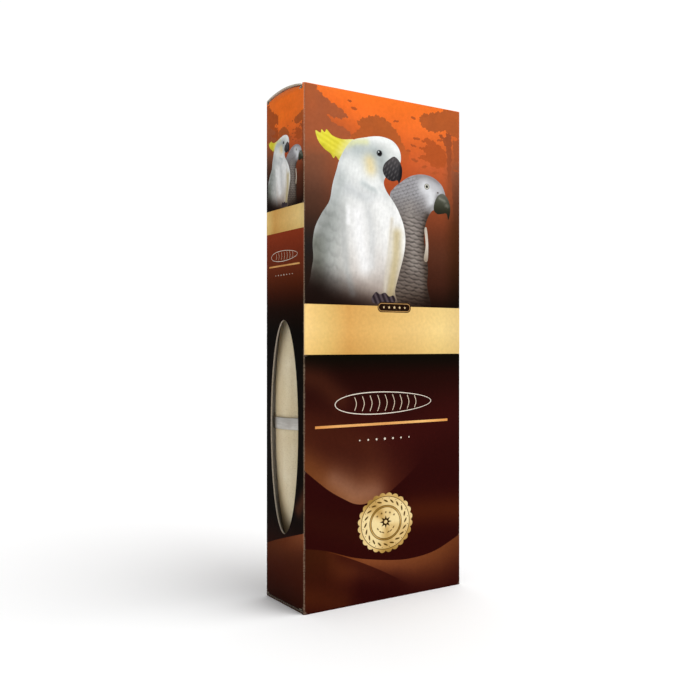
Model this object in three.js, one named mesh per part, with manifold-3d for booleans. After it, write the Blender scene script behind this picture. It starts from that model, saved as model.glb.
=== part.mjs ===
// A cuttlebone in its retail carton: a folded board box with an oval window in its left side,
// the bone standing inside it, and a spring-steel clip round the bone.
// Millimetres, +Z up. The origin is the middle of the footprint, on the surface the carton stands on.
// The wide front faces -Y and the window faces -X.
import * as THREE from "three";
import { mergeVertices } from "three/addons/utils/BufferGeometryUtils.js";
import Module from "manifold-3d";

const wasm = await Module();
wasm.setup();

// Driving dimensions
const WIDTH = 65; // carton, along X
const DEPTH = 26; // carton, along Y
const HEIGHT = 170; // front wall, from the floor to its top edge
const BOARD = 0.5; // thickness of the folding board
const GAP = 0.3; // clearance between neighbouring solids
const BONE_LENGTH = 154;
const BONE_WIDTH = 59;
const BONE_DORSAL = 2.6; // rise of the back above the margin
const BONE_VENTRAL = 17.6; // depth of the belly below the margin
const WINDOW_CENTRE = 59; // height of the window's middle
const WINDOW_HALF_WIDTH = 9.4;
const WINDOW_HALF_HEIGHT = 35.4;

// Dimensions that follow from them
const HALF_BOARD = BOARD / 2;
const HALF_WIDTH = WIDTH / 2;
const HALF_DEPTH = DEPTH / 2;
const FOLD_RADIUS = HALF_BOARD + 0.3; // of the board's middle surface at an upright crease
const LAYER = BOARD + GAP; // from one board's middle surface to the next one's
const CREASE_CLEARANCE = HALF_BOARD + GAP; // from a crease's axis to the edge of the wall below it
const LID_AXIS_Y = HALF_DEPTH - HALF_BOARD;
const LID_AXIS_Z = HEIGHT - HALF_BOARD;
const TUCK_AXIS_Y = -HALF_DEPTH + BOARD + GAP + HALF_BOARD;
const TOP_DUST_Z = LID_AXIS_Z - LAYER - 0.05;
const BOTTOM_FLAP_Z = HALF_BOARD;
const BOTTOM_DUST_Z = BOTTOM_FLAP_Z + LAYER;
const FOLD_STEPS = 4; // flat facets in each quarter turn of board

// Lid, tuck and dust flaps
const LID_CROWN = 1.5; // how far the lid bows up between its creases
const LID_WIDTH = WIDTH - 2 * GAP;
const TUCK_WIDTH = WIDTH - 2 * BOARD - 2;
const TUCK_LENGTH = 12;
const TUCK_SLANT = THREE.MathUtils.degToRad(20); // inwards from upright when shut
const TUCK_CORNER = 5;
const DUST_LENGTH = 21;
const DUST_FRONT_Y = -10.1;
const DUST_REAR_Y = 10.9;
const DUST_TAPER = 0.47; // sideways run of the rear edge for each millimetre of flap
const DUST_CORNER = 3;
const GLUE_LAP = 12; // width of the lap that closes the sleeve, inside the back wall
const GLUE_FILM = 0.05;
const LAP_TAPER = 4; // how much shorter the lap is at its free edge, at each end

// Bone placing and clip
const BONE_FOOT = new THREE.Vector3(-1.35, 0, 2 * BOARD + 2 * GAP + 0.1);
const BONE_TURN = THREE.MathUtils.degToRad(-2);
const BONE_MARGIN_Y = 8.5; // of the margin at mid-length
const BONE_BOW = 1.8; // how far the two ends curve forward of the middle
const BONE_WIDEST = 0.42; // share of the length at which the bone is widest
const BELLY_PEAK = 0.36; // share of the length at which the belly is deepest
const BLUNT = 3.2; // power of the rounded front end, which is at the foot
const SQUARE = 2.8; // power of the cross-section: 2 would be an ellipse
const POINTED = 1.9; // power of the narrower hind end
const SULCUS_DEPTH = 0.9; // of the shallow groove down the middle of the hind half of the belly
const SULCUS_WIDTH = 4;
const SPINE_LENGTH = 3.2;
const SPINE_RADIUS = 1.3;
const STRAP_HEIGHT = 4;
const STRAP_THICKNESS = 0.5;
const STRAP_Z = WINDOW_CENTRE + 0.8 - BONE_FOOT.z; // above the bone's foot
const STRAP_CLAW = 0.62; // how far round the belly the claws reach, in radians
const TONGUE_LENGTH = 9; // of the two tongues that bend out over a cage wire, flat as supplied
const TONGUE_WIDTH = 4;
const TONGUE_X = 9;

const MATERIALS = {
  print: new THREE.MeshStandardMaterial({ color: 0x4a1f0d, roughness: 0.35, metalness: 0 }),
  sky: new THREE.MeshStandardMaterial({ color: 0xd06a28, roughness: 0.35, metalness: 0 }),
  board: new THREE.MeshStandardMaterial({ color: 0xcfc9bd, roughness: 0.85, metalness: 0 }),
  bone: new THREE.MeshStandardMaterial({ color: 0xe9e2d0, roughness: 0.9, metalness: 0 }),
  steel: new THREE.MeshStandardMaterial({ color: 0xb4b6b8, roughness: 0.3, metalness: 1 }),
};

// The manifold solid of a closed three.js geometry.
function solidOf(geometry) {
  const bare = geometry.clone();
  bare.deleteAttribute("normal");
  bare.deleteAttribute("uv");
  const merged = mergeVertices(bare, 1e-4);
  return new wasm.Manifold(
    new wasm.Mesh({
      numProp: 3,
      vertProperties: new Float32Array(merged.attributes.position.array),
      triVerts: new Uint32Array(merged.index.array),
    }),
  );
}

// A named mesh of a manifold solid.
function meshOf(name, solid, material) {
  const { vertProperties, triVerts } = solid.getMesh();
  const geometry = new THREE.BufferGeometry();
  geometry.setAttribute("position", new THREE.BufferAttribute(vertProperties, 3));
  geometry.setIndex(new THREE.BufferAttribute(triVerts, 1));
  const flat = geometry.toNonIndexed();
  flat.computeVertexNormals();
  const mesh = new THREE.Mesh(flat, material);
  mesh.name = name;
  return mesh;
}

// A box between two corners.
function block(low, high) {
  const size = high.map((value, i) => value - low[i]);
  const centre = high.map((value, i) => (value + low[i]) / 2);
  return solidOf(new THREE.BoxGeometry(...size).translate(...centre));
}

// The outline of a strip of even thickness whose middle runs along a path of lines and arcs.
// A round end is a half circle about the path's end point.
function stripShape(path, thickness, { roundStart = false, roundEnd = false } = {}) {
  const half = thickness / 2;
  const left = [];
  const right = [];
  for (const curve of path.curves) {
    const steps = curve.isLineCurve ? 1 : FOLD_STEPS;
    for (let i = left.length ? 1 : 0; i <= steps; i += 1) {
      const point = curve.getPoint(i / steps);
      const along = curve.getTangent(i / steps);
      left.push(new THREE.Vector2(point.x - along.y * half, point.y + along.x * half));
      right.push(new THREE.Vector2(point.x + along.y * half, point.y - along.x * half));
    }
  }
  const cap = (from, to) => {
    const centre = from.clone().add(to).multiplyScalar(0.5);
    const arm = from.clone().sub(centre);
    return Array.from({ length: FOLD_STEPS * 2 - 1 }, (_, i) => {
      const turn = (-Math.PI * (i + 1)) / (FOLD_STEPS * 2);
      return arm.clone().rotateAround(new THREE.Vector2(), turn).add(centre);
    });
  };
  right.reverse();
  const end = roundEnd ? cap(left.at(-1), right[0]) : [];
  const start = roundStart ? cap(right.at(-1), left[0]) : [];
  return new THREE.Shape([...left, ...end, ...right, ...start]);
}

function extrude(shape, depth) {
  return new THREE.ExtrudeGeometry(shape, { depth, bevelEnabled: false, curveSegments: 24 });
}

// A strip drawn in the YZ plane and drawn out along X, centred on X = 0.
function crosswise(shape, width) {
  const geometry = extrude(shape, width).translate(0, 0, -width / 2);
  const toRow = new THREE.Matrix4().makeBasis(
    new THREE.Vector3(0, 1, 0),
    new THREE.Vector3(0, 0, 1),
    new THREE.Vector3(1, 0, 0),
  );
  return solidOf(geometry.applyMatrix4(toRow));
}

// A plate in the XZ plane with round lower corners, for trimming a tab: its top edge is at z = 0.
function tabPlan(width, length, corner, depth) {
  const half = width / 2;
  const plan = new THREE.Shape();
  plan.moveTo(-half, 1);
  plan.lineTo(-half, -length + corner);
  plan.absarc(-half + corner, -length + corner, corner, Math.PI, 1.5 * Math.PI, false);
  plan.lineTo(half - corner, -length);
  plan.absarc(half - corner, -length + corner, corner, 1.5 * Math.PI, 2 * Math.PI, false);
  plan.lineTo(half, 1);
  return extrude(plan, depth).rotateX(Math.PI / 2);
}

// The four walls and the glue lap: one strip of board folded round four upright creases.
// The back wall's free edge lies over the lap at the back right corner.
function carton_sleeve() {
  const side = HALF_WIDTH - HALF_BOARD;
  const face = HALF_DEPTH - HALF_BOARD;
  const lapY = face - BOARD - GLUE_FILM;
  const r = FOLD_RADIUS;
  const path = new THREE.Path();
  path.moveTo(side - GLUE_LAP, lapY);
  path.lineTo(side - r, lapY);
  path.absarc(side - r, lapY - r, r, Math.PI / 2, 0, true);
  path.lineTo(side, -face + r);
  path.absarc(side - r, -face + r, r, 0, -Math.PI / 2, true);
  path.lineTo(-side + r, -face);
  path.absarc(-side + r, -face + r, r, -Math.PI / 2, -Math.PI, true);
  path.lineTo(-side, face - r);
  path.absarc(-side + r, face - r, r, Math.PI, Math.PI / 2, true);
  path.lineTo(side, face);
  const walls = solidOf(extrude(stripShape(path, BOARD), HEIGHT));

  const betweenLayers = HALF_DEPTH - BOARD - GLUE_FILM / 2;
  const cornerFront = -face + 1.2 * r; // just past each round corner, in the flat of the side wall
  const cornerBack = face - 1.2 * r;
  const past = 1;
  const beyond = HALF_WIDTH + past;
  // Each end of the side walls, the lap and the back wall is cut back to let its flap fold.
  const trims = [
    [TOP_DUST_Z - CREASE_CLEARANCE, LID_AXIS_Z - CREASE_CLEARANCE, HEIGHT + past, -1],
    [BOTTOM_DUST_Z + CREASE_CLEARANCE, BOTTOM_FLAP_Z + CREASE_CLEARANCE, -past, 1],
  ].flatMap(([sideEnd, backEnd, outside, inwards]) => {
    const [low, high] = [Math.min(sideEnd, outside), Math.max(sideEnd, outside)];
    const [backLow, backHigh] = [Math.min(backEnd, outside), Math.max(backEnd, outside)];
    const lapFree = side - GLUE_LAP - past;
    const taper = new THREE.Shape([
      new THREE.Vector2(side - 2 * r, sideEnd),
      new THREE.Vector2(lapFree, sideEnd + inwards * LAP_TAPER),
      new THREE.Vector2(lapFree, outside),
      new THREE.Vector2(side - 2 * r, outside),
    ]);
    return [
      block([-beyond, cornerFront, low], [0, cornerBack, high]),
      block([0, cornerFront, low], [beyond, betweenLayers, high]),
      block([-beyond, cornerBack, backLow], [0, HALF_DEPTH + past, backHigh]),
      block([0, betweenLayers, backLow], [beyond, HALF_DEPTH + past, backHigh]),
      solidOf(extrude(taper, 2 * BOARD).rotateX(Math.PI / 2).translate(0, betweenLayers, 0)),
    ];
  });
  const oval = new THREE.Shape();
  oval.absellipse(0, 0, WINDOW_HALF_WIDTH, WINDOW_HALF_HEIGHT, 0, 2 * Math.PI, false);
  trims.push(
    solidOf(
      extrude(oval, 3 * BOARD)
        .rotateX(Math.PI / 2)
        .rotateZ(Math.PI / 2)
        .translate(-HALF_WIDTH - BOARD, 0, WINDOW_CENTRE),
    ),
  );
  return meshOf("carton_sleeve", trims.reduce((solid, cut) => solid.subtract(cut), walls), MATERIALS.print);
}

// The lid: a bowed panel between the back crease and the tuck crease.
function top_lid() {
  const front = TUCK_AXIS_Y + LAYER;
  const chord = LID_AXIS_Y - front;
  const radius = (chord * chord) / (8 * LID_CROWN) + LID_CROWN / 2;
  const half = Math.asin(chord / 2 / radius);
  const middle = (LID_AXIS_Y + front) / 2;
  const path = new THREE.Path();
  path.absarc(
    middle,
    LID_AXIS_Z + LID_CROWN - radius,
    radius,
    Math.PI / 2 - half,
    Math.PI / 2 + half,
    false,
  );
  const arc = path.curves[0];
  const fine = new THREE.Path();
  const facets = 12;
  for (let i = 0; i < facets; i += 1) {
    fine.curves.push(new THREE.LineCurve(arc.getPoint(i / facets), arc.getPoint((i + 1) / facets)));
  }
  const shape = stripShape(fine, BOARD, { roundStart: true, roundEnd: true });
  return meshOf("top_lid", crosswise(shape, LID_WIDTH), MATERIALS.sky);
}

// The tuck that slides in behind the front wall, slanting back so that it clears the wall as it lifts.
function top_tuck() {
  const path = new THREE.Path();
  path.moveTo(TUCK_AXIS_Y, LID_AXIS_Z);
  path.lineTo(
    TUCK_AXIS_Y + TUCK_LENGTH * Math.sin(TUCK_SLANT),
    LID_AXIS_Z - TUCK_LENGTH * Math.cos(TUCK_SLANT),
  );
  const strip = crosswise(stripShape(path, BOARD, { roundStart: true }), TUCK_WIDTH);
  const plan = tabPlan(TUCK_WIDTH + 0.02, TUCK_LENGTH, TUCK_CORNER, 2 * BOARD)
    .translate(0, BOARD, 0)
    .rotateX(TUCK_SLANT)
    .translate(0, TUCK_AXIS_Y, LID_AXIS_Z);
  return meshOf("top_tuck", strip.intersect(solidOf(plan)), MATERIALS.sky);
}

// A dust flap at a height, on the side that the sign gives: a tapered tongue with a round crease edge.
function dustFlap(name, sign, z, material) {
  const crease = HALF_WIDTH - HALF_BOARD;
  const tip = crease - DUST_LENGTH;
  const rear = DUST_REAR_Y - DUST_TAPER * DUST_LENGTH;
  const plan = new THREE.Shape();
  plan.moveTo(crease, DUST_FRONT_Y);
  plan.lineTo(crease, DUST_REAR_Y);
  plan.lineTo(tip, rear);
  plan.lineTo(tip, DUST_FRONT_Y + DUST_CORNER);
  plan.absarc(tip + DUST_CORNER, DUST_FRONT_Y + DUST_CORNER, DUST_CORNER, Math.PI, 1.5 * Math.PI, false);
  const tongue = solidOf(extrude(plan, BOARD).translate(0, 0, z - HALF_BOARD));
  const span = DUST_REAR_Y - DUST_FRONT_Y;
  const edge = solidOf(
    new THREE.CylinderGeometry(HALF_BOARD, HALF_BOARD, span, 4 * FOLD_STEPS).translate(
      crease,
      (DUST_REAR_Y + DUST_FRONT_Y) / 2,
      z,
    ),
  );
  const flap = tongue.add(edge);
  return meshOf(name, sign > 0 ? flap : flap.mirror([1, 0, 0]), material);
}

// The bottom panel and its tab, glued up behind the front wall.
function bottom_flap() {
  const r = FOLD_RADIUS;
  const path = new THREE.Path();
  path.moveTo(LID_AXIS_Y, BOTTOM_FLAP_Z);
  path.lineTo(TUCK_AXIS_Y + r, BOTTOM_FLAP_Z);
  path.absarc(TUCK_AXIS_Y + r, BOTTOM_FLAP_Z + r, r, 1.5 * Math.PI, Math.PI, true);
  path.lineTo(TUCK_AXIS_Y, BOTTOM_FLAP_Z + TUCK_LENGTH);
  const panel = crosswise(stripShape(path, BOARD, { roundStart: true }), LID_WIDTH);
  const above = BOTTOM_FLAP_Z + HALF_BOARD + 0.1;
  const beside = TUCK_WIDTH / 2;
  const trims = [-1, 1].map((sign) =>
    block(
      [sign > 0 ? beside : -WIDTH, -DEPTH, above],
      [sign > 0 ? WIDTH : -beside, DEPTH, BOTTOM_FLAP_Z + 2 * TUCK_LENGTH],
    ),
  );
  return meshOf("bottom_flap", trims.reduce((solid, cut) => solid.subtract(cut), panel), MATERIALS.print);
}

// A rise from 0 to 1 and back over the length, blunt before its peak and pointed after it.
function swell(s, peak, blunt, pointed, power) {
  const before = Math.max(0, 1 - Math.abs(1 - s / peak) ** blunt) ** (1 / blunt);
  const after = Math.max(0, 1 - Math.abs((s - peak) / (1 - peak)) ** pointed) ** power;
  return s < peak ? before : after;
}

// Half-width, back height, belly depth and margin place of the bone at a share s of its length.
function boneSection(s) {
  return {
    halfWidth: (BONE_WIDTH / 2) * swell(s, BONE_WIDEST, BLUNT, POINTED, 0.7),
    dorsal: BONE_DORSAL * swell(s, 0.5, BLUNT, BLUNT, 0.5),
    ventral: BONE_VENTRAL * swell(s, BELLY_PEAK, BLUNT, POINTED, 0.85),
    margin: BONE_MARGIN_Y - BONE_BOW * (2 * s - 1) ** 2,
  };
}

// A point of the bone at share s of its length, at an angle round it: 0 is the right margin and 90 degrees
// is the back.
function bonePoint(s, angle) {
  const { halfWidth, dorsal, ventral, margin } = boneSection(s);
  const bulge = (value) => Math.sign(value) * Math.abs(value) ** (2 / SQUARE);
  const rise = bulge(Math.sin(angle));
  const x = halfWidth * bulge(Math.cos(angle));
  const hind =
    THREE.MathUtils.smoothstep(s, BELLY_PEAK, 0.6) * (1 - THREE.MathUtils.smoothstep(s, 0.8, 0.95));
  const groove = rise < 0 ? SULCUS_DEPTH * hind * Math.exp(-((x / SULCUS_WIDTH) ** 2)) : 0;
  const y = margin + (rise > 0 ? dorsal : ventral) * rise + groove;
  return new THREE.Vector3(x, y, s * BONE_LENGTH);
}

// The bone: a ball drawn out to the bone's section at every height, with the small spine at its hind end.
function cuttlebone() {
  const around = 48;
  const along = 44;
  const geometry = new THREE.SphereGeometry(1, around, along).rotateX(Math.PI / 2);
  const position = geometry.attributes.position;
  const point = new THREE.Vector3();
  for (let i = 0; i < position.count; i += 1) {
    point.fromBufferAttribute(position, i);
    const s = THREE.MathUtils.clamp((1 + point.z) / 2, 0, 1);
    const placed = bonePoint(s, Math.atan2(point.y, point.x));
    position.setXYZ(i, placed.x, placed.y, placed.z);
  }
  const hind = boneSection(1).margin;
  const spine = new THREE.ConeGeometry(SPINE_RADIUS, 2 * SPINE_LENGTH, 12)
    .rotateX(Math.PI / 2)
    .translate(0, hind, BONE_LENGTH - 0.2);
  return meshOf("cuttlebone", solidOf(geometry).add(solidOf(spine)), MATERIALS.bone);
}

// The clip: a spring-steel strap over the bone's back, a claw round each margin and two tongues for a
// cage wire.
function bone_clip() {
  const s = STRAP_Z / BONE_LENGTH;
  const away = GAP + STRAP_THICKNESS / 2;
  const steps = 44;
  const from = -STRAP_CLAW;
  const to = Math.PI + STRAP_CLAW;
  const ring = Array.from({ length: steps + 1 }, (_, i) => {
    const angle = from + ((to - from) * i) / steps;
    const here = bonePoint(s, angle);
    const along = bonePoint(s, angle + 0.01).sub(bonePoint(s, angle - 0.01)).normalize();
    return new THREE.Vector2(here.x + along.y * away, here.y - along.x * away);
  });
  const path = new THREE.Path();
  ring.slice(1).forEach((point, i) => path.curves.push(new THREE.LineCurve(ring[i], point)));
  let clip = solidOf(
    extrude(stripShape(path, STRAP_THICKNESS), STRAP_HEIGHT).translate(0, 0, STRAP_Z - STRAP_HEIGHT / 2),
  );
  const { halfWidth } = boneSection(s);
  for (const side of [-1, 1]) {
    const angle = Math.acos((TONGUE_X / halfWidth) ** (SQUARE / 2));
    const y = bonePoint(s, angle).y + away;
    const tongue = block(
      [side * TONGUE_X - TONGUE_WIDTH / 2, y - STRAP_THICKNESS / 2, STRAP_Z - TONGUE_LENGTH],
      [side * TONGUE_X + TONGUE_WIDTH / 2, y + STRAP_THICKNESS / 2, STRAP_Z],
    );
    clip = clip.add(tongue);
  }
  return meshOf("bone_clip", clip, MATERIALS.steel);
}

const carton = new THREE.Group();
carton.add(
  carton_sleeve(),
  bottom_flap(),
  dustFlap("bottom_dust_flap_left", -1, BOTTOM_DUST_Z, MATERIALS.board),
  dustFlap("bottom_dust_flap_right", 1, BOTTOM_DUST_Z, MATERIALS.board),
);

const closure = new THREE.Group();
closure.add(
  top_lid(),
  top_tuck(),
  dustFlap("top_dust_flap_left", -1, TOP_DUST_Z, MATERIALS.sky),
  dustFlap("top_dust_flap_right", 1, TOP_DUST_Z, MATERIALS.sky),
);

const bone = new THREE.Group();
bone.position.copy(BONE_FOOT);
bone.rotation.z = BONE_TURN;
bone.add(cuttlebone(), bone_clip());

const boxedCuttlebone = new THREE.Group();
boxedCuttlebone.add(carton, closure, bone);

export default boxedCuttlebone;
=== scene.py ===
import bpy
import numpy as np
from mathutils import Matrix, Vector
from mathutils.geometry import delaunay_2d_cdt


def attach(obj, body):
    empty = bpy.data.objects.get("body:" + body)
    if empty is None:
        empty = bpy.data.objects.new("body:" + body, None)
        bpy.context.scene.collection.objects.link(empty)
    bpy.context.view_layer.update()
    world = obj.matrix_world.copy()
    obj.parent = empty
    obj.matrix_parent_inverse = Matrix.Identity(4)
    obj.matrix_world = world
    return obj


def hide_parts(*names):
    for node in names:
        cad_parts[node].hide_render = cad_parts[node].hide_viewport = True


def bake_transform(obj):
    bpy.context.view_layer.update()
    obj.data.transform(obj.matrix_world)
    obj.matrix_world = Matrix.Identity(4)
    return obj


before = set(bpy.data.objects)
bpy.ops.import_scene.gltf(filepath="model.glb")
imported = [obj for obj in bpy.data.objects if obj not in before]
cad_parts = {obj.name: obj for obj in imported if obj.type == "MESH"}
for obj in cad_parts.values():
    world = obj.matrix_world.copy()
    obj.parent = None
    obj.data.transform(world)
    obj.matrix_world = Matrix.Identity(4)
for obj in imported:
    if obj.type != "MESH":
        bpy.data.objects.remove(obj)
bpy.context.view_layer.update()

MM = 0.001

# ---- Sizes, in millimetres -------------------------------------------------------------------------------
WIDTH, DEPTH, HEIGHT = 65.0, 26.0, 170.0
HALF_W, HALF_D = WIDTH / 2, DEPTH / 2
BOARD = 0.5
GAP = 0.3
CORNER = 0.8            # outer radius of an upright crease
LID_Y, LID_Z = HALF_D - BOARD / 2, HEIGHT - BOARD / 2          # axis of the lid's crease, board middle
TUCK_Y = -HALF_D + BOARD + GAP + BOARD / 2                      # axis of the tuck's crease
DUST_Z = LID_Z - BOARD - GAP - 0.05                             # middle of the top dust flaps
BOTTOM_Z = BOARD / 2
BOTTOM_DUST_Z = BOTTOM_Z + BOARD + GAP
LAP_Y = HALF_D - BOARD - 0.05                                   # outer face of the glue lap
WINDOW_Z, WINDOW_A, WINDOW_B = 59.0, 9.4, 35.4                  # the window's middle and half sizes
BAND_LOW, BAND_HIGH = 83.0, 99.3                                # the front's gold band

INK_STRENGTH = 0.87     # share of the light that white ink gives back


# ---- Small tools -----------------------------------------------------------------------------------------
def smooth(low, high, x):
    """0 below low, 1 above high, with the smoothstep cubic between them. low may be above high, and then it
    falls."""
    t = np.clip((np.asarray(x, float) - low) / (high - low), 0, 1)
    return t * t * (3 - 2 * t)


def to_linear(rgb):
    """Screen colour, 0 to 255, to linear light by the standard screen curve."""
    c = np.asarray(rgb, float) / 255
    return np.where(c <= 0.04045, c / 12.92, ((c + 0.055) / 1.055) ** 2.4)


def lin(r, g, b):
    """Screen colour, 0 to 255, as a linear colour for a shader's socket."""
    return (*to_linear((r, g, b)), 1.0)


def ramp(x, stops):
    """Colour along x, straight-line between stops (x, r, g, b) in rising order of x."""
    table = np.array(stops, float)
    return np.stack([np.interp(x, table[:, 0], table[:, k]) for k in (1, 2, 3)], -1)


def mix(below, above, share):
    """below where share is 0, above where it is 1."""
    return below + (np.asarray(above, float) - below) * np.asarray(share)[..., None]


def curve(points, steps=8, closed=True):
    """Catmull-Rom spline through the points: a cubic in each span, whose slope at a point is half the line
    between its neighbours."""
    p = np.array(points, float)
    n = len(p)
    spans = n if closed else n - 1
    i = np.arange(spans)[:, None]
    t = np.linspace(0, 1, steps, endpoint=False)[None, :, None]
    pick = (lambda k: p[(i + k) % n]) if closed else (lambda k: p[np.clip(i + k, 0, n - 1)])
    a, b, c, d = pick(-1), pick(0), pick(1), pick(2)
    square, cube = 2 * a - 5 * b + 4 * c - d, 3 * b - a - 3 * c + d
    out = 0.5 * (2 * b + (c - a) * t + square * t**2 + cube * t**3)
    out = out.reshape(-1, 2)
    return out if closed else np.vstack([out, p[-1]])


def disc(cx, cy, rx, ry=None, count=24, turn=0.0):
    """Outline of an ellipse, turned by an angle in degrees."""
    ry = rx if ry is None else ry
    a = np.linspace(0, 2 * np.pi, count, endpoint=False)
    x, y = rx * np.cos(a), ry * np.sin(a)
    c, s = np.cos(np.radians(turn)), np.sin(np.radians(turn))
    return np.stack([cx + c * x - s * y, cy + s * x + c * y], -1)


def distance(x, y, path):
    """Distance from each point to the open line through the path's points: the least over its spans."""
    p = np.array(path, float)
    best = np.full(np.shape(x), np.inf)
    for (ax, ay), (bx, by) in zip(p[:-1], p[1:]):
        dx, dy = bx - ax, by - ay
        t = np.clip(((x - ax) * dx + (y - ay) * dy) / max(dx * dx + dy * dy, 1e-12), 0, 1)
        best = np.minimum(best, np.hypot(x - ax - t * dx, y - ay - t * dy))
    return best


def brush(x, y, colour, ground, path, width, strength=1.0):
    """A soft stroke: the colour laid over the ground along a path, fading as a bell curve of the distance."""
    return mix(ground, colour, strength * np.exp(-((distance(x, y, path) / width) ** 2)))


def strokes(x, y, ground, rows):
    """The ground with soft strokes laid over it in turn: each row is a colour, path, width and strength."""
    for colour, path, width, strength in rows:
        ground = brush(x, y, colour, ground, path, width, strength)
    return ground


def inside(x, y, outline):
    """True for points inside a closed outline: an odd number of its edges lie to their right."""
    p = np.array(outline, float)
    q = np.roll(p, -1, 0)
    hit = np.zeros(np.shape(x), bool)
    for (ax, ay), (bx, by) in zip(p, q):
        if ay != by:
            crosses = (ay > y) != (by > y)
            hit ^= crosses & (x < (bx - ax) * (y - ay) / (by - ay) + ax)
    return hit


def noise(x, y, scale, seed=0.0):
    """Cloudy value from -1 to 1: a sum of eight sines in different directions, about one cycle per scale."""
    k = np.arange(8)
    angle = 2.4 * k + seed
    rate = 2 * np.pi / scale * (0.55 + 0.13 * k)
    phase = 1.7 * k * k + 3.1 * seed
    wave = [np.sin((x * np.cos(a) + y * np.sin(a)) * r + f) for a, r, f in zip(angle, rate, phase)]
    return np.sum(wave, 0) / 4


# ---- Print: skies, satin, birds and ornaments ----------------------------------------------------------
# A region is (outline, paint). The outline is a closed line on the flat sheet, in millimetres, and paint
# gives the colour (0 to 255) at points inside it. Later regions lie over earlier ones.
NIGHT = (20, 9, 6)      # the dark that both birds sink into
LEAF = (170, 82, 42)
FOLD_TOP = 82.6         # top of the satin's folds, just under the gold band


def sky(s, z):
    """Sunset: four upright colour ramps, at the left edge, the middle, near the right and the right edge,
    joined by straight-line blending across the panel, with faint cloudiness."""
    left = ramp(z, [
        (98, 22, 13, 9), (108, 36, 24, 18), (118, 35, 30, 28), (128, 64, 41, 31), (138, 102, 64, 48),
        (148, 132, 80, 56), (158, 186, 92, 52), (165, 236, 108, 42), (170, 250, 122, 48)])
    middle = ramp(z, [
        (98, 22, 10, 6), (108, 62, 30, 20), (120, 92, 48, 32), (132, 138, 66, 40), (142, 176, 78, 40),
        (152, 208, 94, 44), (161, 240, 112, 44), (170, 254, 120, 40)])
    near = ramp(z, [
        (98, 20, 9, 5), (108, 66, 33, 22), (118, 84, 45, 30), (128, 122, 60, 36), (138, 160, 78, 44),
        (148, 196, 92, 50), (158, 228, 108, 46), (170, 250, 120, 44)])
    right = ramp(z, [
        (98, 14, 8, 5), (108, 42, 21, 9), (118, 64, 33, 16), (128, 80, 42, 22), (138, 98, 56, 38),
        (148, 134, 78, 52), (157, 190, 92, 46), (166, 236, 108, 44), (170, 244, 116, 46)])
    out = mix(left, middle, smooth(3, 27, s))
    out = mix(out, near, smooth(36, 54, s))
    out = mix(out, right, smooth(56, 64, s))
    return out * (1 + 0.03 * noise(s, 2.2 * z, 26, 1.3))[..., None]


def canopy(colour, low, high):
    """Paint of a tree silhouette: the sky, tinted by the leaf colour more strongly towards the top."""
    def paint(s, z):
        veil = 0.92 * smooth(low, high, z) * (0.93 + 0.07 * noise(s, z, 6, 4.0))
        return mix(sky(s, z), colour, veil)
    return paint


def lumps(points, size, seed, steps=10):
    """A leafy outline: a spline through the points, pushed in and out by sines of its running length."""
    line = curve(points, steps)
    run = np.cumsum(np.hypot(*(np.roll(line, -1, 0) - line).T))
    sines = np.sin(run * 2.1 + seed) + 0.7 * np.sin(run * 4.7 + 2 * seed) + 0.4 * np.sin(run * 9.1)
    wobble = size * sines
    step = np.roll(line, -1, 0) - np.roll(line, 1, 0)
    length = np.maximum(np.hypot(*step.T), 1e-6)
    normal = np.stack([step[:, 1], -step[:, 0]], -1) / length[:, None]
    return line + normal * wobble[:, None]


def keep_in(outline, left, right, low, high):
    """The outline pressed into a rectangle, so that it ends on a crease or short of the sheet's edge."""
    return np.stack([np.clip(outline[:, 0], left, right), np.clip(outline[:, 1], low, high)], -1)


TREES = [
    # points, leaf colour, heights between which the silhouette comes out of the haze
    ([(-3, 173), (3, 172), (5.5, 168.2), (9.5, 165.6), (14, 163.6), (16.6, 161.3), (13, 160.2),
      (9, 160.6), (11.5, 158.4), (16.5, 157), (18, 154), (15, 150.5), (8, 148), (2, 147), (-3, 146)],
     (161, 88, 56), 143, 158),
    ([(17, 152), (19, 156.2), (21.5, 158), (20.6, 160.4), (24, 162.2), (28.5, 163.4), (32.5, 162.4),
      (35.4, 160.2), (37.6, 158), (39.6, 154.6), (42, 152), (40, 148), (30, 148), (20, 148)],
     (170, 88, 44), 146, 158),
    ([(47.2, 166.4), (46.8, 163.4), (50, 161.4), (54, 161.2), (57.6, 162.2), (61, 161), (68, 160.4),
      (68, 170), (60, 170.2), (56, 168.8), (53.5, 168.2), (50, 167.2)], (168, 86, 44), 138, 154),
    ([(50.2, 158.6), (47.4, 157.4), (50, 156.2), (46.6, 154.6), (49.6, 153.2), (45.6, 151.4), (50, 150.4),
      (53, 148.6), (57.5, 149.4), (58.8, 152.4), (57.4, 155.4), (54.2, 157.2)], (176, 82, 38), 141, 152),
    ([(55.2, 160.6), (57.8, 160), (58.9, 161.4), (60.6, 161.2), (61, 156), (60.7, 148), (61.2, 140),
      (61.6, 130), (58.8, 130), (59.2, 140), (59, 149), (58.4, 156)], (150, 76, 44), 128, 144),
    ([(61.5, 158.4), (63.4, 159.6), (68, 159.8), (68, 150), (64.2, 150.8), (62.2, 153.4)],
     (160, 82, 46), 140, 150)]
# Loose leaves: middle, and the two half lengths.
LEAVES = [(45.2, 157.8, 1.5, .5), (43.8, 155.2, 1.2, .45), (44.4, 150.2, 1.6, .5), (53.4, 146.8, 1.7, .5),
          (48.6, 148.4, 1.5, .45), (57.6, 146.6, 1.1, .4), (62.9, 148.6, 1.3, .45), (41.6, 153.2, .9, .4),
          (55.6, 158.6, 1.4, .45), (36.4, 162.6, 1.2, .4), (19.2, 164.4, 1.4, .45), (43.8, 164.8, 1.3, .4),
          (17.4, 166.6, .9, .35)]


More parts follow.
